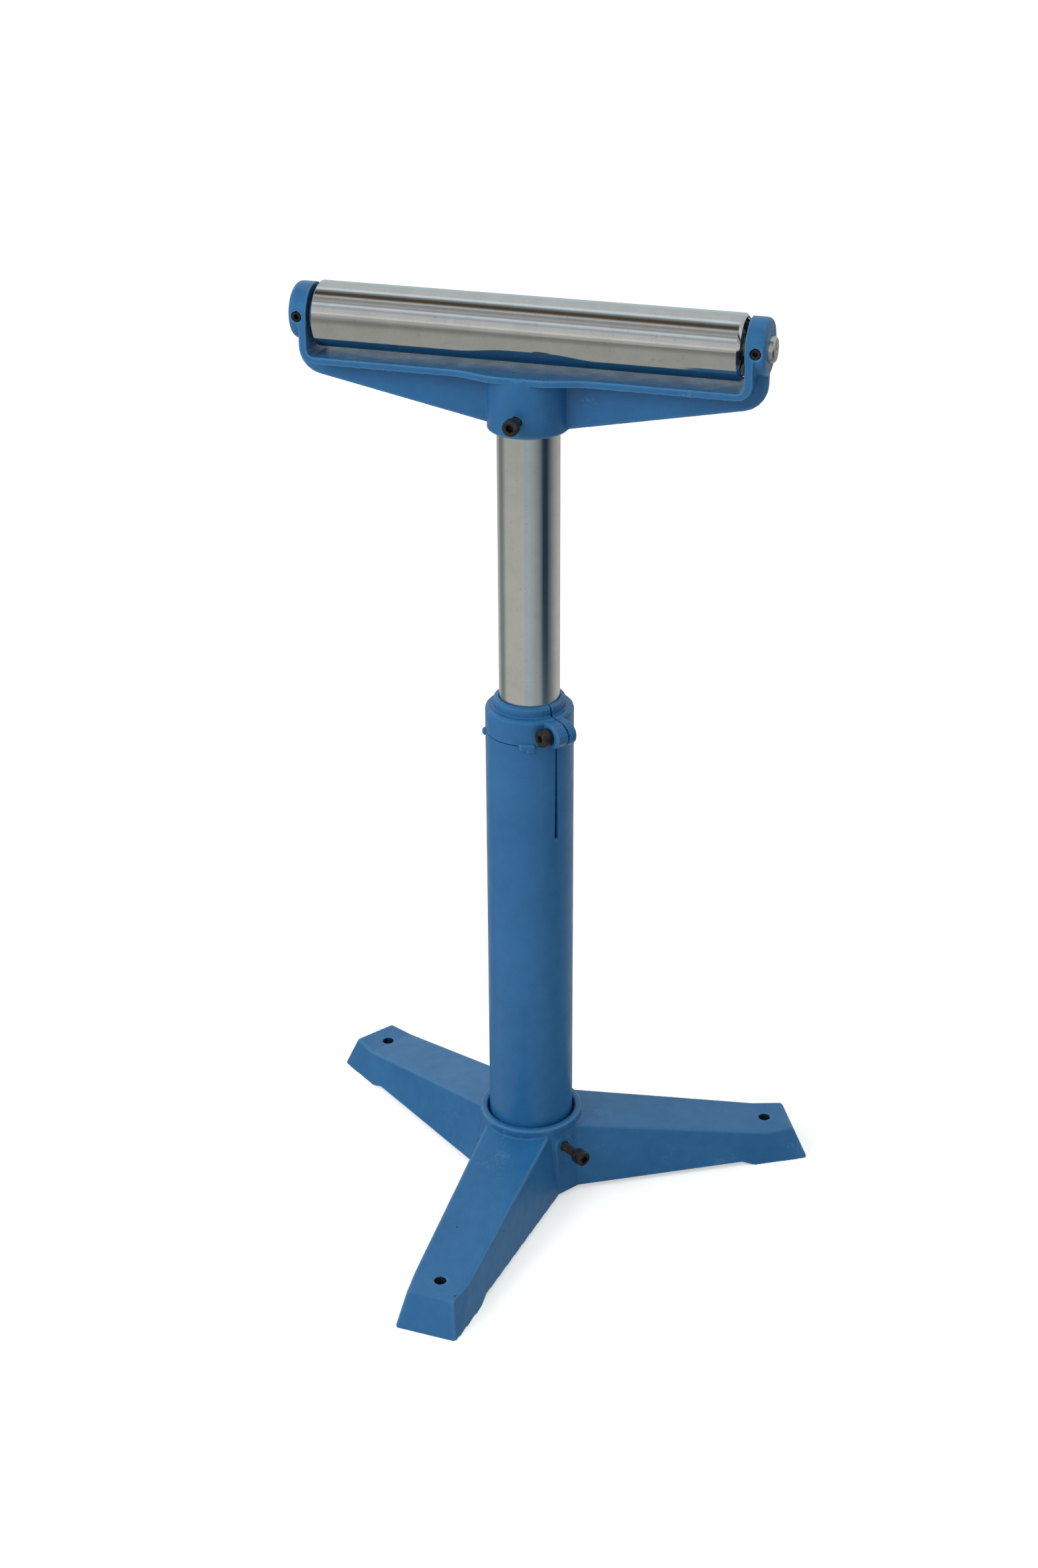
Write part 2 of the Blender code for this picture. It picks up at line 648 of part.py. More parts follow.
def build_axle(axis):
    """Fixed axle with a groove for the snap ring outside each bearing."""
    end = EYE_OUT + AXLE_OUT
    groove_r = AXLE_R - SNAP_GROOVE_DEPTH
    outer = ROLLER_LENGTH / 2 - BEARING_INSET + SNAP_RING_THICKNESS + 2 * FIT
    inner = ROLLER_LENGTH / 2 - BEARING_INSET
    half = [(AXLE_R - AXLE_CHAMFER, end), (AXLE_R, end - AXLE_CHAMFER), (AXLE_R, outer),
            (groove_r, outer), (groove_r, inner), (AXLE_R, inner)]
    outline = [(0, end)] + half + [(r, -h) for r, h in reversed(half)] + [(0, -end)]
    turned("axle", outline, zinc_steel, axis, steps=SMALL_STEPS)


def build_roller(roller):
    """Roller tube with a stepped bore that seats a bearing in each end."""
    end = ROLLER_LENGTH / 2
    outer = ROLLER_OD / 2
    seat_r = BEARING_OD / 2 + FIT
    shoulder = end - BEARING_INSET - BEARING_WIDTH - FIT
    half = [(outer - ROLLER_CHAMFER, end), (outer, end - ROLLER_CHAMFER)]
    inside = [(ROLLER_BORE / 2, shoulder), (seat_r, shoulder), (seat_r, end)]
    outline = half + [(r, -h) for r, h in reversed(half)]
    outline += [(r, -h) for r, h in reversed(inside)] + inside
    turned("roller_shell", outline, polished_steel, roller, closed=True)


def groove(centre, facing):
    """Ball track in a race, as points of its section; facing is +1 on the inner race."""
    radius = BALL_R + FIT
    surface = INNER_RACE_R if facing > 0 else OUTER_RACE_R
    half_angle = math.degrees(math.acos(abs(centre - surface) / radius))
    middle = 180 if facing > 0 else 0
    return arc(centre, 0, radius, middle - half_angle, middle + half_angle, 4)


def build_bearing(side, facing, roller, axis):
    """Deep groove ball bearing: two races, caged balls, a shield and its snap ring."""
    half = BEARING_WIDTH / 2
    centre = ROLLER_LENGTH / 2 - BEARING_INSET - half
    ball_centre = (INNER_RACE_R + OUTER_RACE_R) / 2
    turn = 0 if facing > 0 else 180
    fixed = add_empty(f"bearing {side}", axis, (0, 0, facing * centre), turn, "X")
    spinning = add_empty(f"bearing housing {side}", roller, (0, 0, facing * centre), turn, "X")
    outer = [(BEARING_OD / 2, half), (BEARING_OD / 2, -half), (OUTER_RACE_R, -half)]
    outer += groove(ball_centre, -1) + [(OUTER_RACE_R, half)]
    turned(f"bearing_outer_race_{side}", outer, bright_steel, spinning, SMALL_STEPS, True)
    inner = [(INNER_RACE_R, half)] + groove(ball_centre, 1) + [(INNER_RACE_R, -half)]
    inner += [(AXLE_R + FIT, -half), (AXLE_R + FIT, half)]
    turned(f"bearing_inner_race_{side}", inner, bright_steel, fixed, SMALL_STEPS, True)
    shield_top = half - FIT
    ring(f"bearing_shield_{side}", OUTER_RACE_R - FIT, INNER_RACE_R + FIT,
         shield_top - SHIELD_THICKNESS, shield_top, black_rubber, spinning, SMALL_STEPS)
    build_cage(f"bearing_balls_{side}", fixed, ball_centre)
    build_snap_ring(f"snap_ring_{side}", fixed, half)


def build_cage(name, fixed, ball_centre):
    """Balls in a row, held by a thin ring through their middles."""
    cage = ring(name, ball_centre + CAGE_THICKNESS / 2, ball_centre - CAGE_THICKNESS / 2,
                -CAGE_WIDTH / 2, CAGE_WIDTH / 2, bright_steel, fixed, SMALL_STEPS)
    balls = []
    for number in range(BALL_COUNT):
        angle = 2 * math.pi * number / BALL_COUNT
        bm = bmesh.new()
        bmesh.ops.create_uvsphere(bm, u_segments=8, v_segments=4, radius=BALL_R)
        ball = add_object(f"{name} ball {number + 1}", finish_mesh(bm, "ball"), None, fixed)
        ball.location = (ball_centre * math.cos(angle), ball_centre * math.sin(angle), 0)
        balls.append(ball)
    combine(cage, "UNION", balls)


def build_snap_ring(name, fixed, half):
    """Open spring ring in the axle's groove, against the bearing's inner race."""
    bottom = half + FIT
    spring = ring(name, SNAP_RING_R, AXLE_R - SNAP_GROOVE_DEPTH + FIT, bottom,
                  bottom + SNAP_RING_THICKNESS - FIT, black_steel, fixed, SMALL_STEPS)
    reach = 2 * SNAP_RING_R
    width = reach * math.tan(math.radians(SNAP_RING_GAP / 2))
    bm = prism([(0, 0), (reach, -width), (reach, width)], 0, 2 * half, "XY")
    gap = add_object(f"gap of {name}", finish_mesh(bm, "gap"), None, fixed)
    combine(spring, "DIFFERENCE", [gap])


def footprint_offset(base):
    """How far the column's axis lies from the middle of the feet, along Y."""
    bpy.context.view_layer.update()
    corners = [corner[1] for corner in base.evaluated_get(
        bpy.context.evaluated_depsgraph_get()).bound_box]
    return -(min(corners) + max(corners)) / 2


clear_scene()
stand_parts = make_collection("Roller stand")
cutters = make_collection("Cutters")
paint = make_material("blue paint", PAINT, 0.45, 0.0)
bright_steel = make_material("bright steel", STEEL, 0.32, 1.0)
polished_steel = make_material("polished steel", STEEL, 0.15, 1.0)
zinc_steel = make_material("zinc plated steel", ZINC, 0.40, 1.0)
black_steel = make_material("black oxide steel", BLACK, 0.45, 0.6)
black_rubber = make_material("black rubber", BLACK, 0.60, 0.0)

stand = add_empty("stand")
socket_side = add_empty("socket screw side", stand, turn=SOCKET_AZIMUTH)
base_casting = build_base(socket_side)
stand.location.y = footprint_offset(base_casting)
socket_screw = cap_screw("base_clamp_screw", SOCKET_BOSS_R + SOCKET_SCREW_OUT - TUBE_R - FIT,
                         socket_side)
socket_screw.location = (SOCKET_BOSS_R + SOCKET_SCREW_OUT, 0, SOCKET_SCREW_Z)
socket_screw.rotation_euler = (0, math.radians(90), 0)
collar_side = add_empty("collar clamp side", stand, turn=COLLAR_AZIMUTH)
build_outer_tube(collar_side)
build_collar(collar_side)

mast_frame = add_empty("mast", stand, (0, 0, HEAD_Z))
build_mast(mast_frame)
head_frame = add_empty("head", mast_frame, turn=HEAD_TURN)
build_head(head_frame)
axle_frame = add_empty("axle line", head_frame, (0, 0, AXLE_Z), 90, "Y")
build_axle(axle_frame)
roller_frame = add_empty("roller", axle_frame)
build_roller(roller_frame)
for bearing_side, bearing_facing in (("left", -1), ("right", 1)):
    build_bearing(bearing_side, bearing_facing, roller_frame, axle_frame)
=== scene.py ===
import json
import math

import bmesh
import bpy
from mathutils import Matrix, Vector, noise


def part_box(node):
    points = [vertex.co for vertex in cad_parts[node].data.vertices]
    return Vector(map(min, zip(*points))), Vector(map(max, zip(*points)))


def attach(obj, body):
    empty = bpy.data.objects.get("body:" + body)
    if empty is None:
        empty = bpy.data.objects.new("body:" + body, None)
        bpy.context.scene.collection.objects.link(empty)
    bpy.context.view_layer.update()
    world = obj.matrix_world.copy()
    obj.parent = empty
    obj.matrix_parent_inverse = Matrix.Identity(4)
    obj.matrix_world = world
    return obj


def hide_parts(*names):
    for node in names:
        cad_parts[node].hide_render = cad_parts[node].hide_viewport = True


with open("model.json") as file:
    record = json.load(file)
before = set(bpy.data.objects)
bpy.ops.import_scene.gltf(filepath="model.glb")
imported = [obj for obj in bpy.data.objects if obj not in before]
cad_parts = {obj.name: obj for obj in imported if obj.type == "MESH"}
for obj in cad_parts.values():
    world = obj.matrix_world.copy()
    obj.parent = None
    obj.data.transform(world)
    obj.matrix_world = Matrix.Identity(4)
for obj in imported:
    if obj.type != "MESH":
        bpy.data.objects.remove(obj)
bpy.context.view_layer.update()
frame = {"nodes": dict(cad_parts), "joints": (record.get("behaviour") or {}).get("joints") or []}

nodes = frame["nodes"]
joints = {joint["name"]: joint for joint in frame["joints"]}
cutterGroup = bpy.data.collections.new("cutters")
bpy.context.scene.collection.children.link(cutterGroup)
samePoint = 1e-6  # metres; points nearer than this become one

# where the CAD puts the column, the head and the roller
columnY = joints["head_swivel"]["pos_m"][1]
rollerAxis = Vector(joints["roller_spin"]["axis"]).normalized()
headTurn = math.atan2(rollerAxis.y, rollerAxis.x)
axleZ = joints["roller_spin"]["pos_m"][2]
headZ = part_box("head_casting")[0][2]
columnPlace = Matrix.Translation((0, columnY, 0))
headPlace = Matrix.Translation((0, columnY, headZ)) @ Matrix.Rotation(headTurn, 4, "Z")
axlePlace = (Matrix.Translation((0, columnY, axleZ)) @ Matrix.Rotation(headTurn, 4, "Z")
             @ Matrix.Rotation(math.pi / 2, 4, "Y"))


def onColumn(azimuth, out=0.0, z=0.0):
    # a place on the column: x points outward at this azimuth
    return columnPlace @ Matrix.Rotation(math.radians(azimuth), 4, "Z") @ Matrix.Translation((out, 0, z))


def screwPlace(jointName):
    # a screw's own z runs out of its head, from the face under the head
    joint = joints[jointName]
    turn = Vector((0, 0, 1)).rotation_difference(Vector(joint["axis"]))
    return Matrix.Translation(joint["pos_m"]) @ turn.to_matrix().to_4x4()


def paint(hexCode):
    # sRGB hex to the linear colour that a socket takes
    parts = [int(hexCode[i:i + 2], 16) / 255 for i in (1, 3, 5)]
    return tuple(c / 12.92 if c <= 0.04045 else ((c + 0.055) / 1.055) ** 2.4 for c in parts) + (1,)


def addNode(tree, kind, values=None, links=None, stops=(), **settings):
    # stops are a colour ramp's, as (position, grey or colour)
    node = tree.nodes.new(kind)
    for key, value in settings.items():
        setattr(node, key, value)
    for key, value in (values or {}).items():
        node.inputs[key].default_value = value
    for key, source in (links or {}).items():
        tree.links.new(source, node.inputs[key])
    while stops and len(node.color_ramp.elements) < len(stops):
        node.color_ramp.elements.new(1.0)
    for number, (place, value) in enumerate(stops):
        node.color_ramp.elements[number].position = place
        node.color_ramp.elements[number].color = value if isinstance(value, tuple) else (value, value, value, 1)
    return node


def newFinish(name, **values):
    finish = bpy.data.materials.new(name)
    finish.use_nodes = True
    shader = finish.node_tree.nodes["Principled BSDF"]
    for key, value in values.items():
        shader.inputs[key.replace("_", " ")].default_value = value
    return finish, finish.node_tree, shader


def perMetre(millimetres):
    # noise scale on object coordinates for a pattern of this size
    return 1000 / millimetres


def blueEnamel(name, skin, waves, pits, edgeWearAndHighlight=0.0, marks=()):
    # sprayed alkyd enamel: deep blue and half gloss, in long soft waves where the wet coat has flowed.
    # skin, waves and pits are depths in metres
    finish, tree, shader = newFinish(name, IOR=1.46)
    place = addNode(tree, "ShaderNodeTexCoord").outputs["Object"]
    patches = addNode(tree, "ShaderNodeTexNoise", {"Scale": perMetre(70), "Detail": 3.0}, {"Vector": place})
    tint = addNode(tree, "ShaderNodeValToRGB", links={"Fac": patches.outputs["Fac"]},
                   stops=[(0.30, paint("#24639A")), (0.50, paint("#27689F")), (0.72, paint("#2B6DA4"))])
    mottle = addNode(tree, "ShaderNodeTexNoise", {"Scale": perMetre(9), "Detail": 4.0}, {"Vector": place})
    speck = addNode(tree, "ShaderNodeValToRGB", links={"Fac": mottle.outputs["Fac"]},
                    stops=[(0.35, 0.94), (0.60, 1.0)])
    coat = addNode(tree, "ShaderNodeMix", {"Factor": 1.0},
                   {"A": tint.outputs["Color"], "B": speck.outputs["Color"]},
                   data_type="RGBA", blend_type="MULTIPLY").outputs["Result"]

    layers = []  # what lies over the coat on a casting: where it is, and its colour
    if edgeWearAndHighlight:
        # sharp edges show paler: partly paint drawn back from them, and partly a painted highlight for the light
        # that rolled edges catch; here and there more than elsewhere
        shape = addNode(tree, "ShaderNodeNewGeometry")
        edge = addNode(tree, "ShaderNodeValToRGB", links={"Fac": shape.outputs["Pointiness"]},
                       stops=[(0.505, 0.0), (0.555, edgeWearAndHighlight)])
        wornAndHighlighted = addNode(tree, "ShaderNodeMath", links={0: edge.outputs["Color"], 1: speck.outputs["Color"]},
                       operation="MULTIPLY")
        layers.append((wornAndHighlighted.outputs[0], "#6398C2"))
        # pale specks caught by the grain, in some places only: fine dust, and painted glints where the grain catches
        # light
        fine = addNode(tree, "ShaderNodeTexNoise", {"Scale": perMetre(2.6), "Detail": 5.0, "Roughness": 0.7},
                       {"Vector": place})
        where = addNode(tree, "ShaderNodeTexNoise", {"Scale": perMetre(42), "Detail": 2.0}, {"Vector": place})
        chance = addNode(tree, "ShaderNodeMath", links={0: fine.outputs["Fac"], 1: where.outputs["Fac"]},
                         operation="MULTIPLY")
        dustAndGlints = addNode(tree, "ShaderNodeValToRGB", links={"Fac": chance.outputs[0]},
                       stops=[(0.120, 0.14), (0.150, 0.0)])
        layers.append((dustAndGlints.outputs["Color"], "#86B0CF"))
        for spot, radius, hexCode in marks:
            # one mark with a ragged edge, where the real casting has it: a pinhole's dark spot is painted shade, the
            # primer its own colour
            far = addNode(tree, "ShaderNodeVectorMath", {1: spot}, {0: place}, operation="DISTANCE")
            ragged = addNode(tree, "ShaderNodeMath", {1: radius * 1.1, 2: -radius * 0.55}, {0: fine.outputs["Fac"]},
                             operation="MULTIPLY_ADD")
            reach = addNode(tree, "ShaderNodeMath", links={0: far.outputs["Value"], 1: ragged.outputs[0]},
                            operation="ADD")
            within = addNode(tree, "ShaderNodeMapRange",
                             {"From Min": radius * 0.8, "From Max": radius, "To Min": 1.0, "To Max": 0.0},
                             {"Value": reach.outputs[0]})
            layers.append((within.outputs["Result"], hexCode))
    for factor, hexCode in layers:
        coat = addNode(tree, "ShaderNodeMix", {"B": paint(hexCode)}, {"Factor": factor, "A": coat},
                       data_type="RGBA").outputs["Result"]
    tree.links.new(coat, shader.inputs["Base Color"])

    sheen = addNode(tree, "ShaderNodeTexNoise", {"Scale": perMetre(14), "Detail": 4.0}, {"Vector": place})
    gloss = addNode(tree, "ShaderNodeMapRange", {"From Min": 0.3, "From Max": 0.7, "To Min": 0.25, "To Max": 0.40},
                    {"Value": sheen.outputs["Fac"]})
    tree.links.new(gloss.outputs["Result"], shader.inputs["Roughness"])
    # bumps: long waves of the coat, the sand's grain, and pits
    long = addNode(tree, "ShaderNodeTexNoise", {"Scale": perMetre(11), "Detail": 2.0}, {"Vector": place})
    grain = addNode(tree, "ShaderNodeTexNoise", {"Scale": perMetre(2.0), "Detail": 3.0, "Roughness": 0.6},
                    {"Vector": place})
    cells = addNode(tree, "ShaderNodeTexVoronoi", {"Scale": perMetre(5.5), "Randomness": 1.0}, {"Vector": place})
    pit = addNode(tree, "ShaderNodeValToRGB", links={"Fac": cells.outputs["Distance"]},
                  stops=[(0.04, 0.0), (0.12, 1.0)])
    normal = None
    for height, depth in ((long.outputs["Fac"], waves), (grain.outputs["Fac"], skin), (pit.outputs["Color"], pits)):
        if not depth:
            continue
        links = {"Height": height}
        if normal:
            links["Normal"] = normal
        normal = addNode(tree, "ShaderNodeBump", {"Strength": 1.0, "Distance": depth}, links).outputs["Normal"]
    tree.links.new(normal, shader.inputs["Normal"])
    return finish


def steelFinish(name, hexCode, roughness, stretch, lineWidth, depth, spread=0.06, smudge=0.12, turn=0.0):
    # bright steel with tool lines that run long where stretch is small, and faint finger and oil marks.
    # Real tool lines are under 0.1 mm wide; lineWidth, in mm, draws them coarser, so that they show
    finish, tree, shader = newFinish(name, Metallic=1.0)
    place = addNode(tree, "ShaderNodeTexCoord").outputs["Object"]
    turned = addNode(tree, "ShaderNodeMapping", {"Rotation": (0, 0, -turn)}, {"Vector": place})
    lined = addNode(tree, "ShaderNodeMapping", {"Scale": stretch}, {"Vector": turned.outputs["Vector"]})
    lines = addNode(tree, "ShaderNodeTexNoise", {"Scale": perMetre(lineWidth), "Detail": 2.0, "Roughness": 0.6},
                    {"Vector": lined.outputs["Vector"]})
    smears = addNode(tree, "ShaderNodeTexNoise", {"Scale": perMetre(16), "Detail": 5.0, "Roughness": 0.62},
                     {"Vector": place})
    dirt = addNode(tree, "ShaderNodeValToRGB", links={"Fac": smears.outputs["Fac"]},
                   stops=[(0.34, 1.0 - smudge), (0.62, 1.0)])
    flecks = addNode(tree, "ShaderNodeTexNoise", {"Scale": perMetre(3.2), "Detail": 3.0}, {"Vector": place})
    fleck = addNode(tree, "ShaderNodeValToRGB", links={"Fac": flecks.outputs["Fac"]},
                    stops=[(0.28, 1.0 - 1.6 * smudge), (0.37, 1.0)])
    toned = addNode(tree, "ShaderNodeMix", {"Factor": 1.0, "A": paint(hexCode)}, {"B": dirt.outputs["Color"]},
                    data_type="RGBA", blend_type="MULTIPLY")
    marked = addNode(tree, "ShaderNodeMix", {"Factor": 1.0},
                     {"A": toned.outputs["Result"], "B": fleck.outputs["Color"]},
                     data_type="RGBA", blend_type="MULTIPLY")
    tree.links.new(marked.outputs["Result"], shader.inputs["Base Color"])
    rough = addNode(tree, "ShaderNodeMapRange",
                    {"From Min": 0.25, "From Max": 0.75, "To Min": roughness - spread, "To Max": roughness + spread},
                    {"Value": lines.outputs["Fac"]})
    tree.links.new(rough.outputs["Result"], shader.inputs["Roughness"])
    bump = addNode(tree, "ShaderNodeBump", {"Strength": 1.0, "Distance": depth}, {"Height": lines.outputs["Fac"]})
    tree.links.new(bump.outputs["Normal"], shader.inputs["Normal"])
    return finish


def darkFinish(name, low, high, roughness, metallic, grainSize, depth):
    # blackened or rubbery surface: near black, with a fine grain and paler rubbed spots
    finish, tree, shader = newFinish(name, Metallic=metallic)
    place = addNode(tree, "ShaderNodeTexCoord").outputs["Object"]
    rubbed = addNode(tree, "ShaderNodeTexNoise", {"Scale": perMetre(4), "Detail": 4.0}, {"Vector": place})
    colour = addNode(tree, "ShaderNodeValToRGB", links={"Fac": rubbed.outputs["Fac"]},
                     stops=[(0.4, paint(low)), (0.7, paint(high))])
    tree.links.new(colour.outputs["Color"], shader.inputs["Base Color"])
    rough = addNode(tree, "ShaderNodeMapRange",
                    {"From Min": 0.3, "From Max": 0.7, "To Min": roughness - 0.06, "To Max": roughness + 0.08},
                    {"Value": rubbed.outputs["Fac"]})
    tree.links.new(rough.outputs["Result"], shader.inputs["Roughness"])
    grain = addNode(tree, "ShaderNodeTexNoise", {"Scale": perMetre(grainSize), "Detail": 2.0}, {"Vector": place})
    bump = addNode(tree, "ShaderNodeBump", {"Strength": 1.0, "Distance": depth}, {"Height": grain.outputs["Fac"]})
    tree.links.new(bump.outputs["Normal"], shader.inputs["Normal"])
    return finish


# pinholes in the front leg, drawn as dark spots that are painted shade of the pits, and primer that shows under the
# clamp ring's ear: place, radius and colour
castMarks = [((-0.0089, -0.1045, 0.0406), 0.0010, "#1C2935"), ((0.0278, -0.0895, 0.0353), 0.0009, "#1C2935"),
             ((0.0191, -0.1787, 0.0305), 0.0009, "#1C2935"), ((0.0403, 0.0178, 0.4432), 0.0022, "#8F6472")]
# on sand cast iron the mould's grain shows through the paint as small dimples and a few pits
castEnamel = blueEnamel("blue enamel on sand cast iron", skin=0.00016, waves=0.0003, pits=0.00005, edgeWearAndHighlight=0.5,
                        marks=castMarks)
# on drawn tube the same paint lies nearly flat
tubeEnamel = blueEnamel("blue enamel on steel tube", skin=0.0, waves=0.00008, pits=0.0)
# cold drawn tube: bright, with long fine lines up the tube
drawnSteel = steelFinish("bright drawn steel tube", "#E4E5E4", roughness=0.15, stretch=(1, 1, 0.010),
                         lineWidth=0.9, depth=0.000014, smudge=0.06)
# ground and polished steel: nearly a mirror, with the wheel's hair lines round the roller
groundSteel = steelFinish("ground and polished roller steel", "#C6C7C6", roughness=0.07, stretch=(1, 0.03, 0.03),
                          lineWidth=0.9, depth=0.000003, spread=0.025, smudge=0.08, turn=headTurn)
# turned steel left as it is, dull, and painted brown-black for the shade in the gap between the roller's ends and
# the arms
shadedRollerEnd = steelFinish("turned roller end with oil on it", "#33302E", roughness=0.42, stretch=(1, 1, 1),
                          lineWidth=1.2, depth=0.00001, spread=0.06, smudge=0.12)
# zinc plate: light grey, dull and a little cloudy
zincPlate = steelFinish("dull zinc plated steel", "#BFC1BD", roughness=0.30, stretch=(1, 1, 1),
                        lineWidth=1.5, depth=0.00003, spread=0.08, smudge=0.10)
# hardened and ground steel with a soft gloss, painted dark grey for the shade it lies in inside the roller
shadedBearingSteel = steelFinish("bearing steel in painted shade", "#6E6C69", roughness=0.30, stretch=(1, 1, 1),
                           lineWidth=1.0, depth=0.000004, spread=0.06, smudge=0.12)
# black oxide: brownish black with a low sheen
blackOxide = darkFinish("black oxide steel", "#211E1D", "#3A3532", roughness=0.34, metallic=0.35,
                        grainSize=0.8, depth=0.00002)
# bare cast iron in a drilled hole, with painted shade: near black, and blue from the light that the paint round it
# throws in
shadedHoleWall = darkFinish("drilled hole with dark oil", "#0B1722", "#13283A", roughness=0.55, metallic=0.0,
                         grainSize=0.8, depth=0.00002)
# moulded nitrile rubber: matt black
blackSeal = darkFinish("black rubber seal", "#141414", "#1E1E1E", roughness=0.62, metallic=0.0,
                       grainSize=0.7, depth=0.00002)
print("finishes made")


def turnedShape(outline, steps=160, closed=False):
    # (radius, height) points turned once round z
    bm = bmesh.new()
    points = [bm.verts.new((radius, 0, height)) for radius, height in outline]
    edges = [bm.edges.new(pair) for pair in zip(points, points[1:])]
    if closed:
        edges.append(bm.edges.new((points[-1], points[0])))
    bmesh.ops.spin(bm, geom=points + edges, cent=(0, 0, 0), axis=(0, 0, 1), angle=2 * math.pi, steps=steps,
                   use_merge=True)
    bmesh.ops.remove_doubles(bm, verts=bm.verts, dist=samePoint)
    bmesh.ops.recalc_face_normals(bm, faces=bm.faces)
    return bm


def bothEnds(side):
    # the outline of one end of a bar, mirrored to the other end
    return side + [(radius, -height) for radius, height in reversed(side)]


def raisedShape(outline, low, high):
    # flat outline in x and y, raised along z
    bm = bmesh.new()
    face = bm.faces.new([bm.verts.new((x, y, low)) for x, y in outline])
    raised = bmesh.ops.extrude_face_region(bm, geom=[face])
    top = [item for item in raised["geom"] if isinstance(item, bmesh.types.BMVert)]
    bmesh.ops.translate(bm, verts=top, vec=(0, 0, high - low))
    bmesh.ops.recalc_face_normals(bm, faces=bm.faces)
    return bm


def meshFrom(bm, name, sharp=38):
    # edges that bend by more than sharp, in degrees, stay crisp in the shading
    mesh = bpy.data.meshes.new(name)
    bm.to_mesh(mesh)
    bm.free()
    mesh.shade_smooth()
    mesh.set_sharp_from_angle(angle=math.radians(sharp))
    return mesh


def applyModifiers(piece):
    # leaves the piece with the mesh that its modifiers make
    graph = bpy.context.evaluated_depsgraph_get()
    done = bpy.data.meshes.new_from_object(piece.evaluated_get(graph))
    piece.modifiers.clear()
    piece.data = done


def cutWith(piece, tools, sharp=38, inside=0):
    # takes the tools, which are bmeshes, out of the piece; the cut's faces get its finish number inside
    group = bpy.data.collections.new(f"tools of {piece.name}")
    cutterGroup.children.link(group)
    bodies = []
    for number, tool in enumerate(tools):
        for face in tool.faces:
            face.material_index = inside
        body = bpy.data.objects.new(f"tool {number} of {piece.name}", meshFrom(tool, "tool"))
        group.objects.link(body)
        bodies.append(body)
    step = piece.modifiers.new("Cut", "BOOLEAN")
    step.operation = "DIFFERENCE"
    step.solver = "MANIFOLD"
    step.operand_type = "COLLECTION"
    step.collection = group
    applyModifiers(piece)
    piece.data.set_sharp_from_angle(angle=math.radians(sharp))
    for body in bodies:
        bpy.data.objects.remove(body, do_unlink=True)
    bpy.data.collections.remove(group)


def newPiece(name, mesh, finish, body, slotName, *replaced):
    piece = bpy.data.objects.new(name, mesh)
    bpy.context.scene.collection.objects.link(piece)
    mesh.materials.clear()
    mesh.materials.append(finish)
    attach(piece, body)
    if replaced:
        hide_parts(*replaced)
    return piece


# how the foundry leaves its castings; the waves are the sizes and shares of the unevenness
casting = {"tumble": 0.5, "longWave": 0.016, "longShare": 0.6, "shortWave": 0.006, "shortShare": 0.4,
           "truedWithin": 0.00035, "sharp": 60}


def castCopy(nodeName, size, truing=(), reshape=None, lumps=()):
    # the CAD casting with its edges rolled over and its faces a little uneven
    bm = bmesh.new()
    bm.from_mesh(nodes[nodeName].data)
    bmesh.ops.remove_doubles(bm, verts=bm.verts, dist=samePoint)
    if reshape:
        for vert in bm.verts:
            reshape(vert.co)
    for lump in lumps:
        bm.from_mesh(meshFrom(lump, "lump"))
    blank = bpy.data.objects.new("blank", meshFrom(bm, "blank"))
    bpy.context.scene.collection.objects.link(blank)
    remesh = blank.modifiers.new("Voxels", "REMESH")
    remesh.mode = "VOXEL"
    remesh.voxel_size = size["voxel"]
    tumble = blank.modifiers.new("Tumble", "SMOOTH")
    tumble.factor = casting["tumble"]
    tumble.iterations = size["rounds"]
    thin = blank.modifiers.new("Thin", "DECIMATE")
    thin.ratio = size["keep"]
    applyModifiers(blank)
    bm = bmesh.new()
    bm.from_mesh(blank.data)
    bpy.data.objects.remove(blank, do_unlink=True)
    for place, radiusAt, low, high in truing:
        trueRound(bm, place, radiusAt, low, high)
    bm.normal_update()
    for vert in bm.verts:
        swell = (noise.noise(vert.co / casting["longWave"]) * casting["longShare"]
                 + noise.noise(vert.co / casting["shortWave"]) * casting["shortShare"])
        vert.co += vert.normal * (swell - 1) * size["uneven"]
    bmesh.ops.recalc_face_normals(bm, faces=bm.faces)
    return bm


def trueRound(bm, place, radiusAt, low, high):
    # brings points that lie near a turned face of the CAD, which has flats, onto the true round
    back = place.inverted()
    for vert in bm.verts:
        spot = back @ vert.co
        if low < spot.z < high:
            away = math.hypot(spot.x, spot.y)
            radius = radiusAt(spot.z)
            if abs(away - radius) < casting["truedWithin"]:
                spot.x *= radius / away
                spot.y *= radius / away
                vert.co = place @ spot


foot = {"voxel": 0.0010, "rounds": 2, "keep": 0.36, "uneven": 0.00010,
        "hubTop": 0.0445, "hubFoot": 0.052, "hubFrom": 0.006, "hubHeight": 0.063, "hubEdge": 0.001,
        "ring": 0.045, "ringTop": 0.075,
        "legs": (-90, 30, 150), "holeRadius": 0.0052, "holeOut": 0.2150, "drillTop": 0.06, "drillFoot": -0.02,
        "holeSteps": 48}


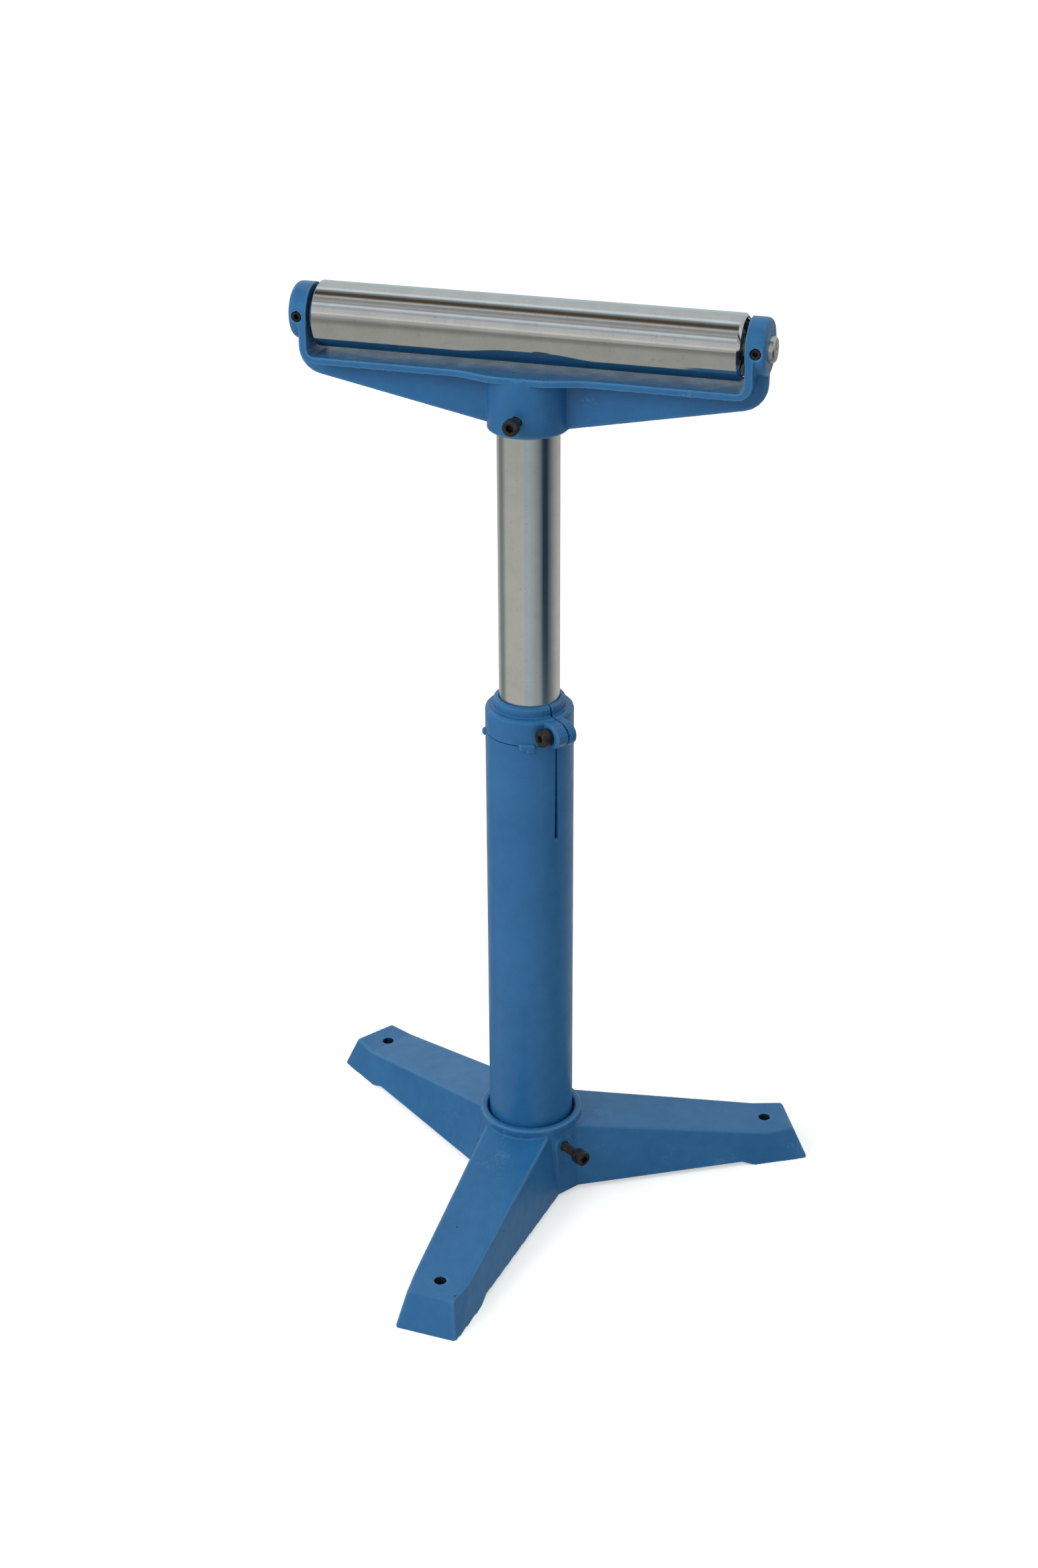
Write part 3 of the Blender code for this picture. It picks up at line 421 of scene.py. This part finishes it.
def makeBase():
    slope = (foot["hubTop"] - foot["hubFoot"]) / foot["hubHeight"]
    bm = castCopy("base_casting", foot, [
        (columnPlace, lambda z: foot["hubFoot"] + slope * z, foot["hubFrom"], foot["hubHeight"] - foot["hubEdge"]),
        (columnPlace, lambda z: foot["ring"], foot["hubHeight"] + foot["hubEdge"], foot["ringTop"])])
    base = newPiece("tripodFoot", meshFrom(bm, "tripodFoot", casting["sharp"]), castEnamel,
                    "foot_and_column", "blue_paint", "base_casting")
    drill = [(0, foot["drillTop"]), (foot["holeRadius"], foot["drillTop"]),
             (foot["holeRadius"], foot["drillFoot"]), (0, foot["drillFoot"])]
    holes = []
    for azimuth in foot["legs"]:
        hole = turnedShape(drill, foot["holeSteps"])
        bmesh.ops.transform(hole, verts=hole.verts, matrix=onColumn(azimuth, foot["holeOut"]))
        holes.append(hole)
    # the cut walls of the holes get the painted shade
    base.data.materials.append(shadedHoleWall)
    cutWith(base, holes, casting["sharp"], inside=1)
    return base


yoke = {"voxel": 0.0008, "rounds": 2, "keep": 0.60, "uneven": 0.00005,
        "hub": 0.0324, "hubFoot": -0.001, "hubHeight": 0.0420,
        "eye": 0.0224, "eyeLift": 0.0015, "eyeFrom": 0.172, "eyeTo": 0.184}


def makeHead():
    eyePlace = Matrix.Translation((0, 0, yoke["eyeLift"])) @ axlePlace
    truing = [(headPlace, lambda z: yoke["hub"], yoke["hubFoot"], yoke["hubHeight"])]
    for low, high in ((yoke["eyeFrom"], yoke["eyeTo"]), (-yoke["eyeTo"], -yoke["eyeFrom"])):
        truing.append((eyePlace, lambda z: yoke["eye"], low, high))
    bm = castCopy("head_casting", yoke, truing)
    return newPiece("rollerYoke", meshFrom(bm, "rollerYoke", casting["sharp"]), castEnamel,
                    "head", "blue_paint", "head_casting")


clamp = {"voxel": 0.0005, "rounds": 1, "keep": 0.60, "uneven": 0.00004,
         "body": 0.0366, "bodyFoot": 0.4394, "bodyTop": 0.4570, "neck": 0.0298, "neckFrom": 0.4610, "neckTo": 0.4655,
         "earFrom": 0.042, "earReach": 0.24,
         "turn": -33, "split": 0.0021, "splitIn": 0.020, "splitOut": 0.070, "splitFoot": 0.40, "splitTop": 0.48,
         # the joint over the tube is open between these azimuths
         "gapIn": 0.0332, "gapOut": 0.0400, "gapDepth": 0.004, "gaps": ((-150, -85), (-8, 198)), "gapStep": 4,
         # azimuth, distance out, height, thickness, width and height of each weld bead
         "beads": ((-72.5, 0.0364, 0.4380, 0.0048, 0.0135, 0.0062), (-68.5, 0.0366, 0.4366, 0.0050, 0.0075, 0.0068),
                   (-156, 0.0364, 0.4370, 0.0056, 0.0056, 0.0066)), "beadRound": 0.42}


def weldBead(azimuth, out, z, thick, wide, tall):
    # a rounded block, which melts into the ring as castCopy rolls its edges over
    bm = bmesh.new()
    bmesh.ops.create_cube(bm, size=1.0)
    bmesh.ops.scale(bm, vec=(thick, wide, tall), verts=bm.verts)
    bmesh.ops.bevel(bm, geom=bm.edges[:], offset=thick * clamp["beadRound"], segments=4, profile=0.5, material=-1,
                    affect="EDGES")
    bmesh.ops.transform(bm, verts=bm.verts, matrix=onColumn(azimuth, out, z))
    return bm


def ringSlice(inner, outer, low, high, start, end):
    # part of a square ring round the column, from one azimuth to another
    bm = bmesh.new()
    corners = [bm.verts.new((x, 0, z)) for x, z in ((inner, low), (outer, low), (outer, high), (inner, high))]
    first = bm.faces.new(corners)
    bmesh.ops.transform(bm, verts=corners, matrix=Matrix.Rotation(math.radians(start), 4, "Z"))
    bmesh.ops.spin(bm, geom=[first] + first.edges[:] + corners, cent=(0, 0, 0), axis=(0, 0, 1),
                   angle=math.radians(end - start), steps=int((end - start) / clamp["gapStep"]))
    bmesh.ops.recalc_face_normals(bm, faces=bm.faces)
    bmesh.ops.transform(bm, verts=bm.verts, matrix=columnPlace)
    return bm


def makeCollar():
    def drawEars(point):
        away = math.hypot(point.x, point.y - columnY)
        if away > clamp["earFrom"]:
            grow = (away - clamp["earFrom"]) * clamp["earReach"] / away
            point.x += point.x * grow
            point.y += (point.y - columnY) * grow

    bm = castCopy("clamp_collar", clamp, [
        (columnPlace, lambda z: clamp["body"], clamp["bodyFoot"], clamp["bodyTop"]),
        (columnPlace, lambda z: clamp["neck"], clamp["neckFrom"], clamp["neckTo"])],
        drawEars, [weldBead(*bead) for bead in clamp["beads"]])
    ring = newPiece("clampRing", meshFrom(bm, "clampRing", casting["sharp"]), castEnamel,
                    "foot_and_column", "blue_paint", "clamp_collar")
    half = clamp["split"] / 2
    split = raisedShape([(clamp["splitIn"], -half), (clamp["splitOut"], -half), (clamp["splitOut"], half),
                         (clamp["splitIn"], half)], clamp["splitFoot"], clamp["splitTop"])
    bmesh.ops.transform(split, verts=split.verts, matrix=onColumn(clamp["turn"]))
    # the joint over the tube stays open except where it is welded
    gapFoot = clamp["bodyFoot"] - clamp["gapDepth"]
    gaps = [ringSlice(clamp["gapIn"], clamp["gapOut"], gapFoot, clamp["bodyFoot"], *gap) for gap in clamp["gaps"]]
    cutWith(ring, [split] + gaps, casting["sharp"])
    return ring


# coarser castings while other pieces are worked on
for made in (makeBase(), makeHead(), makeCollar()):
    print("cast:", made.name, sum(len(face.vertices) - 2 for face in made.data.polygons), "triangles")


innerSize = {"wall": 0.0035, "chamfer": 0.0006, "inside": 0.0004, "steps": 160}
outerSize = {"wall": 0.0045, "chamfer": 0.0003, "inside": 0.0004, "steps": 176,
             "slitTurn": -33, "slitLength": 0.087, "slitTop": 0.0014, "slitFoot": 0.0032,
             "sawOver": 0.002, "sawIn": 0.008, "sawOut": 0.004,
             "runThick": 0.0009, "runWide": 0.0013, "runTall": 0.0019, "runDrop": 0.0024}


def tubeShape(nodeName, size):
    # section of a tube, out and in with small chamfers at both ends, turned round the column;
    # gives its outer radius and its top as well
    (left, _, low), (right, _, high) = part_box(nodeName)
    outer = (right - left) / 2
    inner = outer - size["wall"]
    chamfer, inside = size["chamfer"], size["inside"]
    section = [(outer - chamfer, high), (outer, high - chamfer), (outer, low + chamfer), (outer - chamfer, low),
               (inner + inside, low), (inner, low + inside), (inner, high - inside), (inner + inside, high)]
    bm = turnedShape(section, size["steps"], closed=True)
    bmesh.ops.transform(bm, verts=bm.verts, matrix=columnPlace)
    return bm, outer, high


def makeTubes():
    bm = tubeShape("inner_tube", innerSize)[0]
    newPiece("innerTube", meshFrom(bm, "innerTube"), drawnSteel, "mast", "bright_tube", "inner_tube")
    bm, outer, top = tubeShape("outer_tube", outerSize)
    tube = newPiece("outerTube", meshFrom(bm, "outerTube"), tubeEnamel,
                    "foot_and_column", "blue_paint", "outer_tube")
    # the saw cut is wider at its foot; the outline's x runs round the tube, its y up and its rise outward
    wide, narrow, length = outerSize["slitFoot"] / 2, outerSize["slitTop"] / 2, outerSize["slitLength"]
    saw = raisedShape([(narrow, outerSize["sawOver"]), (-narrow, outerSize["sawOver"]), (-wide, -length),
                       (wide, -length)], outer - outerSize["sawIn"], outer + outerSize["sawOut"])
    bmesh.ops.transform(saw, verts=saw.verts, matrix=onColumn(outerSize["slitTurn"], 0, top)
                        @ Matrix(((0, 0, 1, 0), (1, 0, 0, 0), (0, 1, 0, 0), (0, 0, 0, 1))))
    cutWith(tube, [saw])
    # a run of paint dried below the cut
    bm = bmesh.new()
    bmesh.ops.create_icosphere(bm, subdivisions=4, radius=1.0)
    bmesh.ops.scale(bm, vec=(outerSize["runThick"], outerSize["runWide"], outerSize["runTall"]), verts=bm.verts)
    bmesh.ops.transform(bm, verts=bm.verts,
                        matrix=onColumn(outerSize["slitTurn"], outer, top - length - outerSize["runDrop"]))
    newPiece("paintRun", meshFrom(bm, "paintRun"), tubeEnamel, "foot_and_column", "blue_paint")


def barSize(nodeName):
    # a round bar on the roller's axis lies turned in its box: its radius and half its length
    low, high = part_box(nodeName)
    radius = (high[2] - low[2]) / 2
    return radius, ((high[0] - low[0]) - 2 * radius * abs(rollerAxis.y)) / abs(rollerAxis.x) / 2


rollerSize = {"steps": 192, "sharp": 25, "chamfer": 0.0022, "edge": 0.0002, "edgeDrop": 0.0019, "ringDrop": 0.0032,
              "bore": 0.019, "seat": 0.0213, "seatDepth": 0.0168, "mouth": 0.0006, "endFacing": 0.9}


def makeRoller():
    outer, half = barSize("roller_shell")
    # the second ring near each end keeps the long face between them true in the light
    side = [(outer - rollerSize["chamfer"], half), (outer - rollerSize["edge"], half - rollerSize["edgeDrop"]),
            (outer, half - rollerSize["chamfer"]), (outer, half - rollerSize["ringDrop"])]
    seat = rollerSize["seat"]
    inside = [(rollerSize["bore"], half - rollerSize["seatDepth"]), (seat, half - rollerSize["seatDepth"]),
              (seat, half - rollerSize["mouth"]), (seat + rollerSize["mouth"], half)]
    outline = bothEnds(side) + [(radius, -height) for radius, height in reversed(inside)] + inside
    bm = turnedShape(outline, rollerSize["steps"], closed=True)
    bmesh.ops.transform(bm, verts=bm.verts, matrix=axlePlace)
    roller = newPiece("rollerShell", meshFrom(bm, "rollerShell", rollerSize["sharp"]), groundSteel,
                      "roller", "ground_steel", "roller_shell")
    # only the outside is ground; the turned ends are painted dark for the shade in the gap by the arms
    roller.data.materials.append(shadedRollerEnd)
    for face in roller.data.polygons:
        if abs(face.normal.dot(rollerAxis)) > rollerSize["endFacing"]:
            face.material_index = 1


axleSize = {"steps": 96, "sharp": 25, "dimple": 0.0004, "dimpleFrom": 0.0018, "dimpleTo": 0.0024,
            "faceIn": 0.0014, "edge": 0.0002, "edgeDrop": 0.0010, "chamfer": 0.0016,
            "grooveIn": 0.0045, "grooveWide": 0.0018, "grooveDeep": 0.0006}


def makeAxle():
    # chamfered ends with a shallow centre mark, and a groove for each snap ring
    radius, half = barSize("axle")
    groove = barSize("roller_shell")[1] - axleSize["grooveIn"]
    grooveEnd = groove + axleSize["grooveWide"]
    grooveRadius = radius - axleSize["grooveDeep"]
    side = [(0, half - axleSize["dimple"]), (axleSize["dimpleFrom"], half - axleSize["dimple"]),
            (axleSize["dimpleTo"], half), (radius - axleSize["faceIn"], half),
            (radius - axleSize["edge"], half - axleSize["edgeDrop"]), (radius, half - axleSize["chamfer"]),
            (radius, grooveEnd), (grooveRadius, grooveEnd), (grooveRadius, groove), (radius, groove)]
    bm = turnedShape(bothEnds(side), axleSize["steps"])
    bmesh.ops.transform(bm, verts=bm.verts, matrix=axlePlace)
    newPiece("axlePin", meshFrom(bm, "axlePin", axleSize["sharp"]), zincPlate, "head", "zinc", "axle")


makeTubes()
makeRoller()
makeAxle()
print("tubes, roller and axle made")


keySocket = {"rim": 0.08, "cone": 0.25}  # shares of the key's width and of the socket's depth


def hexTool(across, depth, top):
    # hex key recess with the drill's cone at its bottom
    bm = bmesh.new()
    radius = across / math.sqrt(3)
    bmesh.ops.create_cone(bm, cap_ends=True, segments=6, radius1=radius, radius2=radius, depth=2 * depth,
                          matrix=Matrix.Translation((0, 0, top)))
    bottom = min(bm.faces, key=lambda face: face.calc_center_median().z)
    bmesh.ops.inset_individual(bm, faces=[bottom], thickness=across * keySocket["rim"])
    bmesh.ops.translate(bm, verts=bottom.verts, vec=(0, 0, -depth * keySocket["cone"]))
    return bm


capScrew = {"shank": 0.0040, "head": 0.0065, "height": 0.0080, "sharp": 30, "hex": 0.0060, "hexDepth": 0.0040,
            "faceIn": 0.0013, "edgeIn": 0.0009, "edgeDrop": 0.00015, "chamfer": 0.0011,
            "seatIn": 0.0005, "seatRise": 0.0003, "knurlFrom": 0.0010, "stub": 0.0004,
            "knurls": 56, "knurlSteps": 4, "knurlDepth": 0.00013, "knurlWithin": 0.00001,
            "pitch": 0.00125, "threadDepth": 0.00055, "threadClear": 0.00003, "threadEnd": 0.0003,
            "crestFrom": 0.46, "crestTo": 0.58, "threadSteps": 48}


def capScrewHead(grow, under):
    # grow makes the head larger, and under lets it reach further down over the shank
    head, height, shank = capScrew["head"] * grow, capScrew["height"] * grow, capScrew["shank"]
    seat = head - capScrew["seatIn"]
    outline = [(0, height), (head - capScrew["faceIn"], height),
               (head - capScrew["edgeIn"], height - capScrew["edgeDrop"]), (head, height - capScrew["chamfer"]),
               (head, capScrew["knurlFrom"] - under), (seat, capScrew["seatRise"] - under), (seat, -under),
               (shank, -under), (shank, -under - capScrew["stub"]), (0, -under - capScrew["stub"])]
    bm = turnedShape(outline, capScrew["knurls"] * capScrew["knurlSteps"])
    # knurl: straight ridges rolled round the head between its chamfers
    for vert in bm.verts:
        away = math.hypot(vert.co.x, vert.co.y)
        if away > head - capScrew["knurlWithin"]:
            angle = math.atan2(vert.co.y, vert.co.x)
            dent = capScrew["knurlDepth"] * (0.5 - 0.5 * math.cos(angle * capScrew["knurls"]))
            vert.co.x *= (away - dent) / away
            vert.co.y *= (away - dent) / away
    return bm, height


def screwThread(length):
    # rolled thread: one zigzag turned round and lifted by a pitch, then cut off square at both ends
    bm = bmesh.new()
    pitch, end = capScrew["pitch"], capScrew["threadEnd"]
    root, crest = capScrew["shank"] - capScrew["threadDepth"], capScrew["shank"] - capScrew["threadClear"]
    points = []
    for number in range(int(length / pitch) + 4):
        z = (number - 1.5) * pitch - length
        points += [bm.verts.new((root, 0, z)), bm.verts.new((crest, 0, z + pitch * capScrew["crestFrom"])),
                   bm.verts.new((crest, 0, z + pitch * capScrew["crestTo"]))]
    edges = [bm.edges.new(pair) for pair in zip(points, points[1:])]
    bmesh.ops.spin(bm, geom=points + edges, cent=(0, 0, 0), axis=(0, 0, 1),
                   dvec=(0, 0, pitch / capScrew["threadSteps"]), angle=2 * math.pi, steps=capScrew["threadSteps"])
    bmesh.ops.remove_doubles(bm, verts=bm.verts, dist=2 * samePoint)
    for z, out in ((-end, 1), (end - length, -1)):
        bmesh.ops.bisect_plane(bm, geom=bm.verts[:] + bm.edges[:] + bm.faces[:], plane_co=(0, 0, z),
                               plane_no=(0, 0, out), clear_outer=True)
    bmesh.ops.holes_fill(bm, edges=[edge for edge in bm.edges if edge.is_boundary], sides=0)
    bmesh.ops.recalc_face_normals(bm, faces=bm.faces)
    return bm


def makeCapScrew(name, jointName, nodeName, body, length, grow=1.0, under=0.0):
    bm, height = capScrewHead(grow, under)
    screw = newPiece(name, meshFrom(bm, name, capScrew["sharp"]), blackOxide, body, "black_oxide", nodeName)
    cutWith(screw, [hexTool(capScrew["hex"], capScrew["hexDepth"], height)])
    screw.data.transform(screwPlace(jointName))
    thread = newPiece(f"{name}Thread", meshFrom(screwThread(length), name, capScrew["sharp"]), blackOxide,
                      body, "black_oxide")
    thread.data.transform(screwPlace(jointName))


setScrew = {"across": 0.008, "chamfer": 0.0008, "hex": 0.004, "hexDepth": 0.0035, "steps": 64, "sharp": 30}


def makeSetScrew(name, nodeName):
    low, high = (Vector(corner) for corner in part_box(nodeName))
    across = Vector((-rollerAxis.y, rollerAxis.x, 0))
    # the screw too lies turned in its box
    span = abs((high - low).dot(Vector((abs(across.x), abs(across.y), 0))))
    half = (span - setScrew["across"] * abs(rollerAxis.y) * 2) / 2
    radius, chamfer = (high.z - low.z) / 2, setScrew["chamfer"]
    bm = turnedShape([(0, half), (radius - chamfer, half), (radius, half - chamfer), (radius, chamfer - half),
                      (radius - chamfer, -half), (0, -half)], setScrew["steps"])
    screw = newPiece(name, meshFrom(bm, name, setScrew["sharp"]), blackOxide, "head", "black_oxide", nodeName)
    cutWith(screw, [hexTool(setScrew["hex"], setScrew["hexDepth"], half)])
    turn = Vector((0, 0, 1)).rotation_difference(-across)
    screw.data.transform(Matrix.Translation((low + high) / 2) @ turn.to_matrix().to_4x4())


makeCapScrew("baseScrew", "base_screw_turn", "base_clamp_screw", "base_screw",
             length=0.0282, grow=1.03, under=0.0022)
makeCapScrew("collarScrew", "collar_screw_turn", "collar_clamp_screw", "collar_screw",
             length=0.0195, grow=1.12, under=0.0010)
makeCapScrew("headScrew", "head_screw_turn", "head_clamp_screw", "head_screw", length=0.0152)
makeSetScrew("leftSetScrew", "axle_set_screw_left")
makeSetScrew("rightSetScrew", "axle_set_screw_right")
print("screws made")


# these keep the CAD's own shape; merged points and split edges shade its rounds smooth and its corners crisp
keptShading = {"merge": 0.00001, "sharp": 32}
keptFinishes = {"tube_guide_ring": drawnSteel}
for side in ("left", "right"):
    keptFinishes[f"bearing_outer_race_{side}"] = shadedBearingSteel
    keptFinishes[f"bearing_inner_race_{side}"] = shadedBearingSteel
    keptFinishes[f"bearing_balls_{side}"] = shadedBearingSteel
    keptFinishes[f"bearing_shield_{side}"] = blackSeal
    keptFinishes[f"snap_ring_{side}"] = blackOxide
for nodeName, finish in keptFinishes.items():
    kept = nodes[nodeName]
    kept.data.materials.clear()
    kept.data.materials.append(finish)
    kept.data.shade_smooth()
    weld = kept.modifiers.new("Weld", "WELD")
    weld.merge_threshold = keptShading["merge"]
    split = kept.modifiers.new("Edges", "EDGE_SPLIT")
    split.split_angle = math.radians(keptShading["sharp"])
print("bearings finished")


# what bright metal sees: grey sheet, cool and warm strips, a dark doorway. They are lights, so they are
# linear and may pass 1
tones = {"sheet": (0.505, 0.50, 0.46, 1), "cool": (0.40, 0.485, 0.52, 1), "wall": (0.36, 0.39, 0.39, 1),
         "dim": (0.22, 0.24, 0.24, 1), "sky": (0.62, 0.72, 0.75, 1), "door": (0.018, 0.034, 0.070, 1),
         "doorNear": (0.10, 0.13, 0.17, 1), "pale": (0.74, 0.75, 0.75, 1), "bright": (0.92, 1.05, 1.14, 1),
         "lamp": (0.98, 0.95, 0.90, 1), "soft": (0.50, 0.52, 0.56, 1), "warm": (0.11, 0.08, 0.05, 1),
         "grey": (0.38, 0.39, 0.39, 1), "mid": (0.58, 0.57, 0.55, 1)}


def onlyMirrored(tree, path):
    # 1 for a gloss or glass ray: bright metal sees the room of tones, and all else the plain soft light
    glossy, through = path.outputs["Is Glossy Ray"], path.outputs["Is Transmission Ray"]
    return addNode(tree, "ShaderNodeMath", links={0: glossy, 1: through}, operation="MAXIMUM").outputs[0]


floorSize = {"radius": 9.0, "paint": "#E6E1E2", "white": 0.52, "doorwayFrom": 0.95, "doorwayFull": 1.30,
             # by compass, for the column: the room's ends are darker, and the doorway fades near the stand
             "compass": [(0.0, "dim"), (0.05, "sheet"), (0.245, "sheet"), (0.27, "cool"), (0.31, "cool"),
                         (0.36, "wall"), (0.42, "rim"), (0.455, "opening"), (0.50, "opening"), (0.56, "dim"),
                         (0.61, "wall"), (0.68, "sheet"), (0.90, "sheet"), (0.955, "dim")],
             # by distance, for the roller: the sheet darkens where it meets the room
             "shade": [(0.0, 0.98), (0.18, 0.95), (0.30, 0.70), (0.50, 0.60), (1.0, 0.64)]}


def makeFloor():
    bm = bmesh.new()
    bmesh.ops.create_circle(bm, cap_ends=True, segments=64, radius=floorSize["radius"])
    floor = bpy.data.objects.new("paleFloor", meshFrom(bm, "paleFloor"))
    bpy.context.scene.collection.objects.link(floor)
    # matt painted board: even and without gloss
    finish, tree, shader = newFinish("pale studio floor", Roughness=0.9, Specular_IOR_Level=0.0,
                                     Base_Color=paint(floorSize["paint"]))
    path = addNode(tree, "ShaderNodeLightPath")
    place = addNode(tree, "ShaderNodeTexCoord").outputs["Object"]
    parts = addNode(tree, "ShaderNodeSeparateXYZ", links={0: place})
    side = addNode(tree, "ShaderNodeMath", {1: columnY}, {0: parts.outputs["Y"]}, operation="SUBTRACT")
    turn = addNode(tree, "ShaderNodeMath", links={0: side.outputs[0], 1: parts.outputs["X"]}, operation="ARCTAN2")
    compass = addNode(tree, "ShaderNodeMapRange", {"From Min": -math.pi, "From Max": math.pi},
                      {"Value": turn.outputs[0]})
    away = addNode(tree, "ShaderNodeVectorMath", links={0: place}, operation="LENGTH")
    rings = []
    for doorway in ({"rim": "wall", "opening": "doorNear"}, {"rim": "dim", "opening": "door"}):
        stops = [(share, tones[doorway.get(tone, tone)]) for share, tone in floorSize["compass"]]
        rings.append(addNode(tree, "ShaderNodeValToRGB", links={"Fac": compass.outputs["Result"]}, stops=stops))
    farness = addNode(tree, "ShaderNodeMapRange",
                      {"From Min": floorSize["doorwayFrom"], "From Max": floorSize["doorwayFull"]},
                      {"Value": away.outputs["Value"]})
    around = addNode(tree, "ShaderNodeMix",
                     links={"Factor": farness.outputs["Result"], "A": rings[0].outputs["Color"],
                            "B": rings[1].outputs["Color"]}, data_type="RGBA")
    reach = addNode(tree, "ShaderNodeMapRange", {"From Min": 0.0, "From Max": floorSize["radius"]},
                    {"Value": away.outputs["Value"]})
    shade = addNode(tree, "ShaderNodeValToRGB", links={"Fac": reach.outputs["Result"]}, stops=floorSize["shade"])
    seenFloor = addNode(tree, "ShaderNodeMix", {"Factor": 1.0},
                        {"A": around.outputs["Result"], "B": shade.outputs["Color"]},
                        data_type="RGBA", blend_type="MULTIPLY")
    # the camera sees the floor's paint lifted to white, with the shadow kept
    white = addNode(tree, "ShaderNodeEmission", {"Color": (1, 1, 1, 1), "Strength": floorSize["white"]})
    seen = addNode(tree, "ShaderNodeAddShader", links={0: shader.outputs[0], 1: white.outputs[0]})
    camera = addNode(tree, "ShaderNodeMixShader",
                     links={0: path.outputs["Is Camera Ray"], 1: shader.outputs[0], 2: seen.outputs[0]})
    mirrored = addNode(tree, "ShaderNodeEmission", links={"Color": seenFloor.outputs["Result"]})
    final = addNode(tree, "ShaderNodeMixShader",
                    links={0: onlyMirrored(tree, path), 1: camera.outputs[0], 2: mirrored.outputs[0]})
    tree.links.new(final.outputs[0], tree.nodes["Material Output"].inputs["Surface"])
    floor.data.materials.append(finish)


room = {"top": (0.84, 0.98, 0.90, 1), "bottom": (0.47, 0.47, 0.48, 1), "left": 1.12, "right": 0.68,
        "askewFrom": -0.44, "askewTo": -0.12, "askew": 0.17,
        # what the roller mirrors, by the angle in degrees over the horizon in front
        "strips": [(-4, "grey"), (-1, "mid"), (5, "mid"), (10, "lamp"), (17, "pale"), (26, "pale"), (34, "soft"),
                   (43, "bright"), (49, "grey"), (54, "mid"), (61, "grey"), (66, "grey"), (71, "pale"), (75, "grey"),
                   (79, "warm"), (88, "warm"), (93, "dim"), (98, "grey"), (104, "bright"), (110, "bright"),
                   (115, "pale"), (128, "pale"), (146, "sky"), (172, "sky")]}


def makeSurroundings():
    world = bpy.data.worlds.new("studio")
    bpy.context.scene.world = world
    world.use_nodes = True
    tree = world.node_tree
    path = addNode(tree, "ShaderNodeLightPath")
    way = addNode(tree, "ShaderNodeTexCoord").outputs["Generated"]
    turned = addNode(tree, "ShaderNodeMapping", {"Rotation": (0, 0, -headTurn)}, {"Vector": way})
    parts = addNode(tree, "ShaderNodeSeparateXYZ", links={0: turned.outputs["Vector"]})
    front = addNode(tree, "ShaderNodeMath", {1: -1.0}, {0: parts.outputs["Y"]}, operation="MULTIPLY")
    rise = addNode(tree, "ShaderNodeMath", links={0: parts.outputs["Z"], 1: front.outputs[0]}, operation="ARCTAN2")
    # the strips hang a little askew to the roller
    askew = addNode(tree, "ShaderNodeMapRange",
                    {"From Min": room["askewFrom"], "From Max": room["askewTo"],
                     "To Min": -room["askew"], "To Max": room["askew"]}, {"Value": parts.outputs["X"]})
    swung = addNode(tree, "ShaderNodeMath", links={0: rise.outputs[0], 1: askew.outputs["Result"]}, operation="ADD")
    share = addNode(tree, "ShaderNodeMapRange", {"From Min": -math.pi, "From Max": math.pi},
                    {"Value": swung.outputs[0]})
    strip = addNode(tree, "ShaderNodeValToRGB", links={"Fac": share.outputs["Result"]},
                    stops=[(degrees / 360 + 0.5, tones[tone]) for degrees, tone in room["strips"]])
    # soft light: stronger and cooler from above, weaker from the right
    height = addNode(tree, "ShaderNodeValToRGB", links={"Fac": parts.outputs["Z"]},
                     stops=[(0.0, room["bottom"]), (1.0, room["top"])])
    fall = addNode(tree, "ShaderNodeMapRange",
                   {"From Min": -1.0, "From Max": 1.0, "To Min": room["left"], "To Max": room["right"]},
                   {"Value": parts.outputs["X"]})
    soft = addNode(tree, "ShaderNodeMix", {"Factor": 1.0},
                   {"A": height.outputs["Color"], "B": fall.outputs["Result"]},
                   data_type="RGBA", blend_type="MULTIPLY")
    plain = addNode(tree, "ShaderNodeMix", {"B": (1, 1, 1, 1)},
                    {"Factor": path.outputs["Is Camera Ray"], "A": soft.outputs["Result"]}, data_type="RGBA")
    colour = addNode(tree, "ShaderNodeMix",
                     links={"Factor": onlyMirrored(tree, path), "A": plain.outputs["Result"],
                            "B": strip.outputs["Color"]}, data_type="RGBA")
    tree.links.new(colour.outputs["Result"], tree.nodes["Background"].inputs["Color"])


softbox = {"name": "key softbox", "place": (-1.15, -1.6, 1.7), "aim": (0, 0, 0.4), "side": 1.0, "power": 22}


def makeLamp():
    lamp = bpy.data.lights.new(softbox["name"], "AREA")
    lamp.shape = "RECTANGLE"
    lamp.size = lamp.size_y = softbox["side"]
    lamp.energy = softbox["power"]
    holder = bpy.data.objects.new(softbox["name"], lamp)
    bpy.context.scene.collection.objects.link(holder)
    holder.location = softbox["place"]
    holder.rotation_euler = (Vector(softbox["aim"]) - holder.location).to_track_quat("-Z", "Y").to_euler()
    holder.visible_camera = False
    holder.visible_glossy = False


# where the photograph was taken from, and its own right, up and ahead
shot = {"place": (0.64771804, -1.67587047, 1.30611484), "right": (0.93551401, 0.35324809, -0.0054151),
        "up": (-0.15304126, 0.41902186, 0.8949855), "ahead": (-0.31842097, 0.83644274, -0.44606235), "lens": 56.806}


def makeCamera():
    data = bpy.data.cameras.new("photo view")
    data.lens = shot["lens"]
    data.sensor_width = 36
    data.sensor_fit = "AUTO"
    camera = bpy.data.objects.new("photo view", data)
    bpy.context.scene.collection.objects.link(camera)
    right, up, ahead = (Vector(shot[key]) for key in ("right", "up", "ahead"))
    stand = Matrix((right, up, -ahead)).transposed().to_4x4()
    stand.translation = Vector(shot["place"])
    camera.matrix_world = stand
    bpy.context.scene.camera = camera


makeFloor()
makeSurroundings()
makeLamp()
makeCamera()
bpy.context.scene.view_settings.view_transform = "Standard"
print("stage set")
